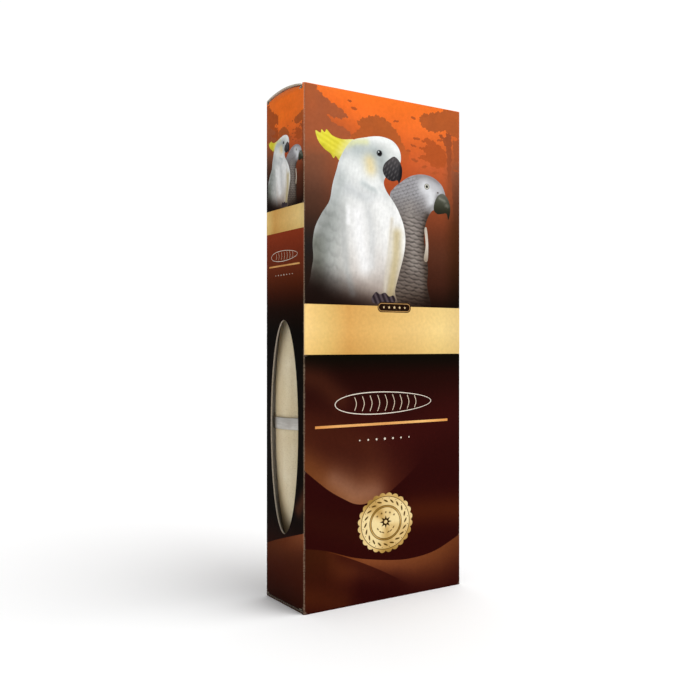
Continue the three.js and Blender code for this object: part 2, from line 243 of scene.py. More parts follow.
def trees(left, right, top):
    """Silhouettes of trees, kept between two creases and under the sheet's top edge."""
    made = []
    for k, (points, colour, low, high) in enumerate(TREES):
        line = keep_in(lumps(points, 0.26, 1.9 * k), left, right, 90, top)
        made.append((line, canopy(colour, low, high)))
    for k, (s, z, a, b) in enumerate(LEAVES):
        if left < s - a and s + a < right:
            leaf = lumps(disc(s, z, a, b, 9, 14 * np.sin(5 * k)), 0.1, k, 4)
            made.append((leaf, canopy(LEAF, 138, 152)))
    return made


def satin(s, z):
    """Dark chocolate ground with soft folds: an upright ramp, then wide strokes of warm light."""
    out = ramp(z, [(0, 52, 12, 7), (8, 46, 9, 7), (30, 43, 8, 7), (56, 46, 11, 9), (68, 40, 11, 8),
                   (76, 32, 9, 6), (81, 15, 9, 5), (84, 11, 8, 4)])
    return strokes(s, z, out, [
        ((84, 42, 24), [(-4, 77), (6, 74.5), (14, 68)], 4.2, 0.5),
        ((60, 16, 13), [(24, 60), (40, 55), (60, 62)], 8, 0.5),
        ((84, 36, 12), [(44, 28.4), (54, 28), (66, 27)], 5.2, 0.62),
        ((58, 24, 10), [(-6, 33), (8, 28), (22, 24)], 5, 0.3)])


def fold_high(s, z):
    """The bright swell of satin above the crisp fold: warm light that dies upwards and to the right."""
    edge = np.interp(s, [0, 8.6, 20, 24, 34, 46, 65], [46.2, 39.6, 33.4, 33.2, 35.5, 40, 48])
    rise = np.maximum(z - edge, 0)
    reach = np.interp(s, [0, 20, 34, 48], [10, 12, 14, 9])
    glow = np.exp(-((rise / reach) ** 2)) * (1 - smooth(22, 50, s))
    lit = ramp(s, [(0, 110, 60, 30), (8, 120, 68, 36), (18, 142, 90, 56), (26, 138, 84, 52),
                   (36, 96, 46, 28)])
    lit = brush(s, z, (158, 110, 84), lit, [(12, 42.6), (20, 37.4), (28, 37)], 3.6, 0.7)
    out = mix(satin(s, z), lit, 0.97 * glow)
    return brush(s, z, (82, 38, 20), out, [(-4, 62), (10, 58), (24, 53)], 6.5, 0.5)


def fold_low(s, z):
    """The lowest swell: light along its crisp upper rim, falling away downwards, with a darker hollow."""
    rim = np.interp(s, [0, 8.6, 20, 34.3, 44, 56, 65], [21.1, 19.3, 15.5, 12.9, 12.4, 14.4, 18.2])
    drop = np.maximum(rim - z, 0)
    reach = np.interp(s, [0, 10, 22, 36, 50, 65], [15, 11, 5.2, 5.4, 9, 12])
    lit = ramp(s, [(0, 58, 24, 9), (8, 64, 26, 10), (15, 108, 54, 24), (24, 130, 70, 38), (38, 120, 64, 35),
                   (52, 114, 60, 31), (65, 100, 50, 25)])
    dark = ramp(z, [(0, 44, 8, 7), (10, 42, 7, 6), (22, 46, 12, 8)])
    out = mix(dark, lit, np.exp(-((drop / reach) ** 2)))
    return brush(s, z, (84, 38, 14), out, [(-4, 6), (6, 4), (14, 1)], 5, 0.55)


def hollow(s, z):
    """A second, softer fold inside the lowest swell."""
    rim = np.interp(s, [8, 14.6, 29.4, 40.9], [19.6, 16.9, 10.3, 4])
    depth = np.maximum(rim - z, 0)
    shade = 0.75 * np.exp(-((depth / 4.2) ** 2)) * smooth(7, 15, s) * (1 - smooth(33, 44, s))
    return mix(fold_low(s, z), (48, 12, 8), shade)


def under(edge, low):
    """A region's outline: a spline through the edge's points, closed straight across at a height low."""
    line = curve(edge, 6, False)
    return np.vstack([line, [(line[-1, 0], low), (line[0, 0], low)]])


def waves(left, right, low=0.4):
    """The satin's crisp folds between two creases, given for a full front panel."""
    swell = [(0, 46.2), (8.6, 39.4), (15, 35.6), (20, 33.4), (25, 33.4), (34, 36.4), (48, 46)]
    lowest = [(0, 21.1), (8.6, 19.3), (20, 15.5), (34.3, 12.9), (44, 12.4), (54, 13.8), (65, 18.2)]
    dip = [(8, 19.2), (14.6, 16.9), (22, 13.8), (29.4, 10.3), (36, 6.8), (44, 2)]
    folds = [(swell, FOLD_TOP - 0.1, fold_high), (lowest, low, fold_low), (dip, low, hollow)]
    return [(keep_in(under(edge, end), left, right, low, FOLD_TOP), paint) for edge, end, paint in folds]


# ---- Birds: outlines on the front panel, then their paints ---------------------------------------------
COCKATOO = curve([
    (1.6, 97), (2.5, 108), (3.5, 114), (3.3, 119), (4.2, 124), (6.6, 128.6), (9.6, 133), (10.8, 138.5),
    (12.4, 143.6), (14, 148), (18, 153.4), (23.6, 155.4), (29.3, 156.5), (34.2, 155.9), (37.2, 153.8),
    (38.4, 150.8), (37.6, 147.6), (33.4, 144.6), (31.2, 141.4), (32.2, 138.4), (35, 135.2),
    (37.4, 131.8), (39.6, 127), (40.3, 122), (39.5, 116.6), (37.6, 110.6), (35.8, 104.5), (34.6, 97)], 5)
CREST = curve([
    (19.6, 154), (14.6, 153.6), (10.8, 154.3), (8.6, 156), (7.8, 155), (6.6, 155.8), (6.2, 154.6),
    (4.4, 155.2), (4.7, 153.4), (5.8, 151.4), (7.8, 149.6), (10, 148.4), (11.2, 147), (12, 147.8),
    (13.4, 146.6), (15, 147.6), (19.4, 150.6)], 4)
BEAK = curve([
    (33.4, 149.2), (35.6, 150.4), (37.8, 149), (38.9, 146.6), (38.7, 143.6), (37.5, 141.4),
    (36.9, 142.4), (34.8, 141.9), (32.4, 142.6), (30.8, 144.8), (31.4, 147.4)], 5)
PARROT = curve([
    (33, 97), (33.4, 120), (33.6, 136), (35.2, 139.4), (38, 141.7), (42.4, 144.4), (47.2, 145.6),
    (52, 145.2), (55.8, 143.2), (57.6, 140.6), (57.9, 138), (55.6, 134.6), (52.6, 133.6),
    (50.8, 131.8), (49.2, 128.4), (48.4, 123.2), (49.6, 117.4), (50.2, 112), (49.8, 107), (50.4, 97)], 5)
PARROT_BEAK = curve([
    (54.6, 138.8), (56.8, 139.8), (58.8, 138.6), (60.1, 136.2), (60.3, 133.6), (59.4, 130.7),
    (58.6, 132.8), (56.6, 132.6), (54.4, 132.4), (52.8, 133.8), (53.2, 136.4)], 5)
FAR_WING = curve([
    (48.3, 116), (49.2, 121), (48.6, 126.4), (49.6, 127), (50.3, 121.6), (50, 115.6)], 4)
CLAWS = curve([
    (26.4, 102.4), (28, 104), (29.6, 103.2), (31.6, 103.9), (33.4, 102.6), (35.2, 103), (36, 101.2),
    (34, 100), (28, 100), (26.2, 100.8)], 4)


def feathers(x, y, across, down, lean=0.0):
    """Overlapping scallops: rows of half rounds, each row shifted by half a feather. 1 along the dark hem
    of a feather and 0 inside it."""
    y = y + lean * x
    row = np.floor(y / down)
    cell = (x / across + 0.5 * (row % 2)) % 1 - 0.5
    below = y / down - row
    hem = np.abs(below - 1.7 * cell**2 - 0.1)
    return np.exp(-((hem / 0.2) ** 2))


def cockatoo(x, y):
    """White plumage: bright breast and throat, cool shade under the cheek and along the folded wings, a
    warm tint on the far wing, and the whole sinking into the dark at the foot of the picture."""
    out = ramp(y, [(99, 96, 76, 66), (104, 166, 152, 142), (112, 214, 208, 202), (122, 234, 233, 230),
                   (140, 226, 228, 226), (156, 222, 226, 222)])
    out = strokes(x, y, out, [
        ((172, 178, 177), [(14, 149), (13.5, 139), (9, 128), (6, 120)], 3.4, 0.7),
        ((128, 131, 126), [(9, 127), (7.6, 117), (7.2, 106)], 5.0, 0.8),
        ((176, 180, 176), [(11.6, 129), (11, 118), (12, 106)], 4.6, 0.5),
        ((104, 106, 96), [(4.4, 119), (5, 108), (6, 100)], 3.2, 0.75),
        ((182, 184, 182), [(14.6, 131), (15, 122), (16, 112), (18.5, 103)], 1.5, 0.7),
        ((196, 200, 202), [(17, 137.6), (24, 135.4), (31, 136.6)], 2.2, 0.55),
        ((202, 204, 204), [(24.8, 131), (26.4, 123), (26, 113)], 1.6, 0.6),
        ((250, 250, 250), [(20.6, 130), (21.6, 121), (23.4, 112)], 2.8, 0.8),
        ((252, 252, 252), [(16.9, 131.6), (16.8, 126.4)], 0.8, 0.8),
        ((250, 250, 248), [(29.6, 134), (33, 127), (34.4, 118)], 3.0, 0.8),
        ((254, 254, 252), [(36.4, 132.6), (39.2, 126), (39.4, 119)], 1.3, 0.8),
        ((196, 178, 132), [(36.6, 124), (36.2, 116), (34.2, 105), (33, 100)], 2.2, 0.8),
        ((214, 206, 190), [(34.6, 129), (33.4, 118), (31.6, 104)], 0.7, 0.75),
        ((244, 246, 244), [(15, 146), (22, 143), (29, 140.2)], 3.2, 0.6),
        ((188, 196, 196), [(22.6, 140), (26, 138.6), (29, 138.2)], 1.1, 0.7),
        ((248, 249, 247), [(25.4, 140.4), (28, 139.4), (29.4, 137.6)], 0.7, 0.7),
        ((178, 188, 188), [(20, 151.6), (26, 150.6), (31.6, 146)], 3.2, 0.75),
        ((250, 252, 250), [(20, 155), (27, 156), (33.6, 155.4), (36.8, 152.6)], 1.6, 0.8),
        ((234, 214, 158), [(25.4, 147.6), (25.9, 145.2)], 2.3, 0.8),
        ((226, 226, 150), [(16, 152), (20, 153.6), (24, 154)], 1.2, 0.55),
        ((148, 156, 156), [(28.4, 150.8), (30.3, 150.6)], 1.9, 0.45),
        ((168, 172, 170), [(30.4, 148.6), (30.2, 145), (30.8, 141.6)], 0.9, 0.55)])
    barbs = noise(x * 2.4 - 0.4 * y, y * 0.6, 3.0, 2.0) + 0.6 * noise(x, y, 2.4, 5.0)
    out = out * (1 + 0.022 * barbs * smooth(160, 140, y))[..., None]
    wing = smooth(15.5, 12, x)
    hems = 0.07 * feathers(x, y, 4.6, 4.2, 0.25) * wing * smooth(136, 128, y)
    out = out * (1 - hems)[..., None]
    fade = smooth(113, 98.4, y + 0.42 * (np.clip(x, 2, 30) - 14))
    return mix(out, NIGHT, 0.93 * fade)


def crest(x, y):
    """Lemon crest feathers: long streaks, deeper yellow along the lower edge, white at the root."""
    run = (x - 5) + 0.55 * (158 - y)
    out = ramp(run, [(0, 226, 220, 92), (5, 236, 226, 70), (11, 230, 218, 72), (15, 236, 232, 150),
                     (18, 232, 234, 214)])
    streak = 0.5 + 0.5 * np.sin(3.6 * (y + 0.42 * x))
    out = mix(out, (204, 190, 40), 0.4 * streak * smooth(17, 9, run))
    return brush(x, y, (190, 176, 44), out, [(7, 150.4), (11, 147.6), (14, 147.4)], 1.0, 0.6)


def beak(x, y):
    """Dark horn with pale growth lines that follow the hook."""
    out = ramp(y, [(141, 34, 32, 34), (146, 58, 56, 58), (150.4, 84, 80, 80)])
    lines = np.sin(5.2 * (x * 0.8 - y * 0.55)) * np.sin(1.1 * (x + y))
    out = mix(out, (140, 134, 134), 0.42 * np.clip(lines, 0, 1) * smooth(38.6, 36, x))
    return brush(x, y, (20, 19, 22), out, [(38.6, 147), (38.4, 143)], 0.8, 0.8)


def parrot(x, y):
    """Grey plumage in scalloped rows, small on the neck and wider on the breast, with a pale bare face."""
    out = ramp(y, [(98, 76, 62, 52), (108, 102, 91, 84), (118, 98, 88, 82), (130, 112, 104, 100),
                   (138, 156, 154, 156), (146, 166, 164, 168)])
    out = strokes(x, y, out, [
        ((58, 46, 38), [(50.2, 131), (48.6, 124), (50, 112), (50, 100)], 1.7, 0.85),
        ((176, 168, 160), [(42, 133), (43.6, 124), (44, 114)], 3.4, 0.45)])
    neck = feathers(x, y, 1.5, 1.25, -0.35) * smooth(129, 133, y) * smooth(50.5, 46, x + 0.5 * (y - 138))
    breast = feathers(x, y, 4.2, 1.4, 0.14) * smooth(133, 128, y)
    pale = feathers(x, y + 0.65, 4.2, 1.4, 0.14) * smooth(133, 128, y)
    uneven = 0.75 + 0.4 * noise(x, y, 2.2, 3.0)
    out = out * (1 - 0.3 * neck * uneven - 0.46 * breast * uneven + 0.18 * pale)[..., None]
    out = strokes(x, y, out, [
        ((224, 225, 228), [(48.8, 141.4), (51.6, 139), (52, 136.6)], 3.0, 0.95),
        ((200, 200, 204), [(52.6, 142.6), (55.4, 140.4)], 1.6, 0.6),
        ((120, 112, 112), [(45, 144.6), (50, 145.4), (55, 143.6)], 0.9, 0.45),
        ((126, 124, 124), [(50.6, 133.6), (53, 135.4), (54.4, 138.6)], 0.8, 0.5)])
    return mix(out, NIGHT, 0.86 * smooth(108, 97.5, y + 0.25 * (50 - x)))


def parrot_beak(x, y):
    """Grey-green horn, light over the bridge and almost black at the hook."""
    out = ramp(y, [(130.6, 26, 26, 22), (134, 48, 48, 36), (137, 76, 78, 66), (139.6, 104, 104, 96)])
    return brush(x, y, (150, 150, 138), out, [(55.4, 138), (57.4, 137.4), (58.6, 135.8)], 0.5, 0.6)


def plain(*colour):
    """Paint of one ink."""
    return lambda x, y: np.broadcast_to(np.array(colour, float), np.shape(x) + (3,)).copy()


def wing_edge(x, y):
    """Pale edge of the parrot's far wing."""
    return ramp(y, [(115, 150, 134, 116), (121, 214, 204, 190), (126, 196, 184, 168)])


def perch(x, y):
    """Dark claws on a perch, knuckled."""
    return mix(np.array((36, 28, 32.0)), (86, 74, 78), 0.5 + 0.5 * np.sin(3.1 * x + 1.5 * y))


# From the back forwards: the parrot, its wing, beak, eye and nostril, then the cockatoo with its crest,
# claws, beak and eye.
BIRDS = [
    (PARROT, parrot),
    (FAR_WING, wing_edge),
    (PARROT_BEAK, parrot_beak),
    (disc(49.7, 141.6, 1.15, 1.05, 18), plain(126, 124, 122)),
    (disc(49.7, 141.6, 0.9, 0.85, 18), plain(206, 204, 190)),
    (disc(49.7, 141.6, 0.52, count=14), plain(30, 26, 26)),
    (disc(54.6, 139.9, 0.45, 0.3, 10), plain(96, 86, 84)),
    (CREST, crest),
    (COCKATOO, cockatoo),
    (CLAWS, perch),
    (BEAK, beak),
    (disc(29.4, 150.8, 1.25, 1.15, 20), plain(112, 116, 116)),
    (disc(29.45, 150.8, 0.95, 0.9, 20), plain(26, 24, 26)),
    (disc(29.1, 151.2, 0.25, count=8), plain(214, 220, 222))]


def placed(regions, scale, du, dv, wide=1.0):
    """The same regions at another size and place on the sheet: each paint is asked at the point before
    moving."""
    def moved(paint):
        return lambda u, v: paint((u - du) / (scale * wide), (v - dv) / scale)
    return [(outline * (scale * wide, scale) + (du, dv), moved(paint)) for outline, paint in regions]


# ---- Gold work -----------------------------------------------------------------------------------------
def gold_band(s, z):
    """Gold ink across a panel: light at both creases and deeper left of the middle."""
    out = ramp(s, [(0, 255, 216, 142), (8, 236, 198, 122), (17, 220, 168, 94), (30, 228, 184, 110),
                   (44, 238, 200, 128), (56, 242, 211, 140), (65, 230, 200, 136)])
    shade = ramp(z, [(BAND_LOW, 0.95, 0.93, 0.88), (91, 1, 1, 1), (BAND_HIGH, 0.98, 0.97, 0.95)])
    return out * shade * (1 + 0.012 * noise(s, z, 20, 0.6))[..., None]


def gold_line(s, z):
    """Gold ink of a thin rule, lighter and darker along its length."""
    return ramp(s, [(0, 206, 132, 66), (14, 236, 174, 106), (32, 222, 158, 92), (48, 244, 190, 118),
                    (62, 214, 140, 70)])


def bar(s0, s1, z0, z1):
    """Outline of an upright rectangle."""
    return np.array([(s0, z0), (s1, z0), (s1, z1), (s0, z1)], float)


SEAL_S, SEAL_Z, SEAL_R, SCALLOPS = 32.0, 25.9, 10.2, 24


def seal_rim():
    """A wavy round: the radius swells and dips with a rectified sine, once for each scallop."""
    a = np.linspace(0, 2 * np.pi, SCALLOPS * 8, endpoint=False)
    r = SEAL_R * (0.925 + 0.075 * np.abs(np.sin(a * SCALLOPS / 2)) ** 0.8)
    return np.stack([SEAL_S + r * np.cos(a), SEAL_Z + r * np.sin(a)], -1)


def seal_gold(level=0.0):
    """Struck gold: a bright streak from lower left to upper right, with tone changing round the rim."""
    def paint(s, z):
        x, y = np.asarray(s, float) - SEAL_S, np.asarray(z, float) - SEAL_Z
        turn = np.arctan2(y, x)
        tone = 0.5 + 0.32 * np.sin(2 * turn + 0.7) + 0.14 * np.sin(5 * turn) + level
        return ramp(tone, [(0, 148, 112, 50), (0.35, 190, 152, 84), (0.6, 218, 184, 120), (1, 242, 218, 160)])
    return paint


def star(cx, cy, size, points=5, inner=0.42):
    """A star with one point up: its outline alternates between two radii."""
    a = np.radians(90.0) + np.arange(2 * points) * np.pi / points
    r = np.where(np.arange(2 * points) % 2 == 0, size, size * inner)
    return np.stack([cx + r * np.cos(a), cy + r * np.sin(a)], -1)


def at_seal(radius, turn, *size):
    """A disc on a circle round the seal's middle, its own length, width, count and turn following."""
    return disc(SEAL_S + radius * np.cos(turn), SEAL_Z + radius * np.sin(turn), *size)


def seal():
    """A generic award seal: scalloped rim, leafy and beaded rings, and a star in the middle."""
    ink, bright, deep = plain(92, 66, 28), seal_gold(0.32), seal_gold(-0.3)
    made = [(seal_rim(), seal_gold())]
    for radius, width, above in [(8.9, 0.22, bright), (5.9, 0.2, deep), (5.3, 0.2, bright)]:
        made.append((disc(SEAL_S, SEAL_Z, radius + width / 2, count=72), ink))
        made.append((disc(SEAL_S, SEAL_Z, radius - width / 2, count=72), above))
    for k in range(20):
        a = 2 * np.pi * k / 20
        made.append((at_seal(7.4, a, 0.92, 0.3, 12, np.degrees(a) + 62), ink))
        made.append((at_seal(8.35, a + 0.157, 0.17, None, 7), ink))
    for k in range(-2, 3):
        made.append((star(SEAL_S + 1.55 * k, SEAL_Z + 3.55 - 0.28 * k * k, 0.5), ink))
    made.append((star(SEAL_S, SEAL_Z + 0.3, 2.2, 8, 0.5), plain(58, 38, 18)))
    made.append((disc(SEAL_S, SEAL_Z + 0.3, 0.62, count=16), bright))
    for side in (-1, 1):
        for k in range(3):
            x, y = SEAL_S + side * (1.0 + 0.95 * k), SEAL_Z - 3.2 + 0.34 * k * k
            made.append((disc(x, y, 0.55, 0.2, 10, side * (28 + 14 * k)), ink))
    return made


# ---- Plain marks in place of lettering -----------------------------------------------------------------
def bone_mark(cx, cz, length, width, line=0.3, count=9, stroke=0.26, ground=satin):
    """A thin drawn cuttlebone lying on its side: an egg-shaped oval, the ground's own paint inside it, and
    curved growth marks across it, each a thin crescent."""
    a = np.linspace(0, 2 * np.pi, 64, endpoint=False)
    made = []
    for grow, paint in ((0, plain(232, 222, 206)), (-line, ground)):
        x = (length / 2 + grow) * np.cos(a)
        y = (width / 2 + grow) * np.sin(a) / (1 + 0.16 * np.cos(a))
        made.append((np.stack([cx + x, cz + y], -1), paint))
    for k in range(count):
        x = cx - length * 0.3 + length * 0.62 * k / (count - 1)
        tall = width * 0.36 * np.sqrt(max(0.05, 1 - ((x - cx) / (length / 2)) ** 2))
        bend = 0.16 * tall
        edge = curve([(x - bend, cz - tall), (x + bend, cz), (x - bend, cz + tall)], 6, False)
        made.append((np.vstack([edge, edge[::-1] + (stroke, 0)]), plain(222, 204, 180)))
    return made


def dot_row(cx, cz, step, size, shrink, count):
    """Seven round dots in a row, smaller away from the middle one."""
    return [(disc(cx + step * k, cz, size - shrink * abs(k), count=count), plain(226, 214, 198))
            for k in range(-3, 4)]


# ---- Folding board: one builder for every flat-cut piece -----------------------------------------------
def spread(lists):
    """A list of lists as two flat arrays: the values, and which list each came from."""
    counts = np.array([len(x) for x in lists])
    return np.concatenate([np.asarray(x, int) for x in lists]), np.repeat(np.arange(len(lists)), counts)


def dense(outline, step, us=(), vs=()):
    """The closed outline with a point at least every step and wherever it crosses a grid line, us or vs."""
    out = []
    p = np.array(outline, float)
    for a, b in zip(p, np.roll(p, -1, 0)):
        length = np.hypot(*(b - a))
        t = list(np.arange(1, int(np.ceil(length / step))) / np.ceil(length / step))
        for axis, lines in ((0, us), (1, vs)):
            if abs(b[axis] - a[axis]) > 1e-6:
                cross = (np.asarray(lines, float) - a[axis]) / (b[axis] - a[axis])
                t += [x for x in cross if 0.001 < x < 0.999]
        t = np.unique(np.round([0.0, *t], 5))
        gap = np.append(np.diff(t), 1 - t[-1]) * length
        t = t[gap > 0.03] if len(t) > 1 else t
        out.append(a + (b - a) * np.union1d(t, [0.0])[:, None])
    return np.vstack(out)


def net(border, holes, regions, points):
    """Cuts the flat sheet into triangles by constrained Delaunay, so that the sheet's edge and every printed
    outline become mesh edges. Gives the points, the triangles, the topmost region of each triangle (-1 for
    none) and, for each border and hole point, its index."""
    outlines = [border, *holes, *[dense(region[0], PRINT_STEP) for region in regions]]
    starts = np.cumsum([0] + [len(line) for line in outlines])
    flat = np.vstack([*outlines, points])
    first, *rest = [np.arange(a, b) for a, b in zip(starts[:-1], starts[1:])]
    edges = [pair for ring in rest for pair in np.stack([ring, np.roll(ring, -1)], -1).tolist()]
    made = delaunay_2d_cdt([Vector(p) for p in flat.tolist()], edges, [first.tolist()], 1, 1e-5, True)
    where = np.zeros(len(flat), int)
    source, owner = spread(made[3])
    where[source] = owner
    verts = np.array([tuple(v) for v in made[0]], float)
    tris = np.array([tuple(f) for f in made[2]], int)
    a, b, c = verts[tris[:, 0]], verts[tris[:, 1]], verts[tris[:, 2]]
    area = (b[:, 0] - a[:, 0]) * (c[:, 1] - a[:, 1]) - (b[:, 1] - a[:, 1]) * (c[:, 0] - a[:, 0])
    tris = np.where((area < 0)[:, None], tris[:, ::-1], tris)
    middle = verts[tris].mean(1)
    tris, middle = (x[inside(*middle.T, border)] for x in (tris, middle))
    top = np.full(len(tris), -1)
    for k, line in enumerate([region[0] for region in regions] + list(holes)):
        near = np.flatnonzero(((middle > line.min(0)) & (middle < line.max(0))).all(1))
        top[near[inside(*middle[near].T, line)]] = k
    keep = top < len(regions)
    loops = [where[starts[k]:starts[k + 1]] for k in range(1 + len(holes))]
    return verts, tris[keep], top[keep], loops


def faces_out(place, uv):
    """Unit normal of the placed sheet: the cross product of its two slopes, taken over a small step."""
    e = 0.02
    across = place(uv[:, 0] + e, uv[:, 1]) - place(uv[:, 0] - e, uv[:, 1])
    along = place(uv[:, 0], uv[:, 1] + e) - place(uv[:, 0], uv[:, 1] - e)
    n = np.cross(across, along)
    return n / np.maximum(np.linalg.norm(n, axis=1), 1e-9)[:, None]


EDGE_STEP, HOLE_STEP, PRINT_STEP = 1.6, 1.2, 1.5    # greatest steps along a border, a hole, a printed outline
EDGE_CLEAR = 0.3                                    # least distance from the grid's points to an edge
SHARP = np.radians(38)                              # faces at a greater angle meet in a hard edge


def grid_points(us, vs, border, holes):
    """The crossings of the grid lines that lie on the sheet, clear of its edges."""
    x, y = (g.ravel() for g in np.meshgrid(us, vs))
    keep = inside(x, y, border)
    for line in [border, *holes]:
        keep &= distance(x, y, np.vstack([line, line[:1]])) > EDGE_CLEAR
    for hole in holes:
        keep &= ~inside(x, y, hole)
    return np.stack([x[keep], y[keep]], -1)


def build_mesh(name, verts, faces, slots, materials):
    """A smooth-shaded mesh object in metres, from points in millimetres."""
    mesh = bpy.data.meshes.new(name)
    mesh.from_pydata((np.asarray(verts) * MM).tolist(), [], faces)
    for material in materials:
        mesh.materials.append(material)
    mesh.polygons.foreach_set("material_index", np.asarray(slots, np.int32))
    mesh.polygons.foreach_set("use_smooth", np.ones(len(faces), bool))
    mesh.set_sharp_from_angle(angle=SHARP)
    mesh.update()
    piece = bpy.data.objects.new(name, mesh)
    bpy.context.scene.collection.objects.link(piece)
    return piece


def board_piece(name, border, place, ground, materials, us, vs, crease, regions=(), holes=(), extra=None):
    """A piece of folding board. The flat net is placed by place(u, v), which gives the outer face; the inner
    face is the same net, coarser, one board thickness behind along the normal, and a rim joins the two.
    Print colours are worked out at each corner of each triangle by the topmost region's paint, or by the
    ground's, which also has the triangle's middle. crease(u, v) says how near a crease is, from 0 to 1."""
    border = dense(border, EDGE_STEP, us, vs)
    holes = [dense(h, HOLE_STEP) for h in holes]
    grid = grid_points(us, vs, border, holes)
    points = grid if extra is None else np.vstack([grid, extra])
    uv, tris, top, rim = net(border, holes, list(regions), points)
    uv_in, tris_in, _, rim_in = net(border, holes, [], grid)
    outer = place(uv[:, 0], uv[:, 1])
    inner = place(uv_in[:, 0], uv_in[:, 1]) - BOARD * faces_out(place, uv_in)
    n = len(outer)
    sides = []
    for k, (o, i) in enumerate(zip(rim, rim_in)):
        o2, i2 = np.roll(o, -1), np.roll(i, -1)
        sides.append(np.stack([o2, o, i + n, i2 + n] if k == 0 else [o, o2, i2 + n, i + n], -1))
    sides = np.vstack(sides)
    faces = tris.tolist() + (tris_in[:, ::-1] + n).tolist() + sides.tolist()
    slots = np.repeat([0, 1, 2], [len(tris), len(tris_in), len(sides)])
    piece = build_mesh(name, np.vstack([outer, inner]), faces, slots, materials)

    corner = uv[tris]
    u, v = corner[..., 0], corner[..., 1]
    rgb = ground(u, v, u.mean(1, keepdims=True) + 0 * u)
    for k, (_, paint) in enumerate(regions):
        mine = top == k
        if mine.any():
            rgb[mine] = paint(u[mine], v[mine])
    # nearness to a crease: the finish paints it pale, as real cracked coating and as a painted highlight
    fold = crease(u, v)
    light = INK_STRENGTH * to_linear(np.clip(rgb, 0, 255))
    light = np.concatenate([light, np.ones(u.shape + (1,))], -1).reshape(-1, 4)
    total = len(piece.data.loops)
    for label, kind, values in (("Print", "FLOAT_COLOR", light), ("Fold", "FLOAT", fold.reshape(-1, 1))):
        full = np.zeros((total, values.shape[1]), np.float32)
        full[:len(values)] = values
        layer = piece.data.attributes.new(label, kind, "CORNER")
        layer.data.foreach_set("color" if kind == "FLOAT_COLOR" else "value", full.ravel())
    return piece


# ---- Fold maps: where a point of the flat sheet lies on the carton -------------------------------------
# Along the sleeve's sheet, u runs from the back wall's free edge over the left, front and right walls to the
# glue lap; u is 0 at the front left corner.
BACK_U, LEFT_U, FRONT_U, RIGHT_U = -90.75, -26.0, 0.0, WIDTH
LAP_U = RIGHT_U + HALF_D + LAP_Y
LAP_END = LAP_U + 12.25
CREASES = np.array([LEFT_U, FRONT_U, RIGHT_U, LAP_U])
CORNERS = np.array([(-HALF_W, HALF_D), (-HALF_W, -HALF_D), (HALF_W, -HALF_D), (HALF_W, LAP_Y)])
HEADINGS = np.array([(-1, 0), (0, -1), (1, 0), (0, 1), (-1, 0)], float)
WALL_BOW = np.array([0.0, 0.10, 0.14, 0.10, 0.0])
LID_CROWN = 1.5


def sleeve_place(u, z):
    """Straight walls joined by quarter rounds: a wall's point is its corner plus the run along its heading;
    within one radius of a corner the point goes round the corner's circle instead. The front and the narrow
    walls bow out by a tenth of a millimetre or so, as a squared sine across times a sine up."""
    u, z = np.asarray(u, float), np.asarray(z, float)
    wall = np.searchsorted(CREASES, u)
    anchor = np.maximum(wall - 1, 0)
    flat = CORNERS[anchor] + HEADINGS[wall] * (u - CREASES[anchor])[:, None]
    near = np.abs(u[:, None] - CREASES).argmin(1)
    into, out = HEADINGS[near], HEADINGS[near + 1]
    t = np.clip((u - CREASES[near] + CORNER) / (2 * CORNER), 0, 1)[:, None] * np.pi / 2
    centre = CORNERS[near] + CORNER * (out - into)
    bend = centre + CORNER * (into * np.sin(t) - out * np.cos(t))
    xy = np.where((np.abs(u - CREASES[near]) < CORNER)[:, None], bend, flat)
    ends = np.array([BACK_U, LEFT_U, FRONT_U, RIGHT_U, LAP_U, LAP_END])
    share = np.clip((u - ends[wall]) / (ends[wall + 1] - ends[wall]), 0, 1)
    bow = WALL_BOW[wall] * np.sin(np.pi * share) ** 2 * np.sin(np.pi * z / HEIGHT)
    outward = np.stack([HEADINGS[wall][:, 1], -HEADINGS[wall][:, 0]], -1)
    return np.column_stack([xy + outward * bow[:, None], z])


def lid_arc(y):
    """Height of the lid's board middle: a circle's arc over the chord between its creases, with its crown."""
    front = TUCK_Y + BOARD + GAP
    chord, middle = LID_Y - front, (LID_Y + front) / 2
    radius = chord**2 / (8 * LID_CROWN) + LID_CROWN / 2
    return LID_Z + LID_CROWN - radius + np.sqrt(radius**2 - (np.asarray(y, float) - middle) ** 2)


def bezier(a, b, c, count):
    """Quadratic curve from a to c, drawn towards b."""
    t = np.linspace(0, 1, count)[:, None]
    return (1 - t) ** 2 * np.array(a) + 2 * t * (1 - t) * np.array(b) + t**2 * np.array(c)


class Route:
    """A line in an upright plane, given by its points: a distance along it becomes a place and a normal."""
    def __init__(self, points):
        self.points = np.array(points, float)
        step = np.hypot(*np.diff(self.points, axis=0).T)
        self.points = self.points[np.append(True, step > 1e-6)]
        self.run = np.append(0, np.cumsum(np.hypot(*np.diff(self.points, axis=0).T)))
        slope = np.gradient(self.points, self.run, axis=0)
        slope /= np.hypot(*slope.T)[:, None]
        self.normal = np.stack([-slope[:, 1], slope[:, 0]], -1)
        self.length = self.run[-1]

    def at(self, run, offset):
        """The point at a distance along the line, moved off it along the normal. Past its ends the line
        runs straight on."""
        run = np.asarray(run, float)
        over = run - np.clip(run, 0, self.length)
        point = np.stack([np.interp(run, self.run, self.points[:, k]) for k in (0, 1)], -1)
        normal = np.stack([np.interp(run, self.run, self.normal[:, k]) for k in (0, 1)], -1)
        normal /= np.hypot(normal[..., 0], normal[..., 1])[..., None]
        slope = np.stack([normal[..., 1], -normal[..., 0]], -1)
        return point + slope * over[..., None] + normal * offset

    def where(self, level):
        """Distance along the line at which its first coordinate last passes a level."""
        values = self.points[:, 0] - level
        return float(self.run[np.flatnonzero(values[:-1] * values[1:] <= 0)[-1]])


# ---- What is printed on each wall ----------------------------------------------------------------------
PAPER = plain(226, 216, 200)            # unprinted coated board
DARK_INK = plain(34, 18, 9)

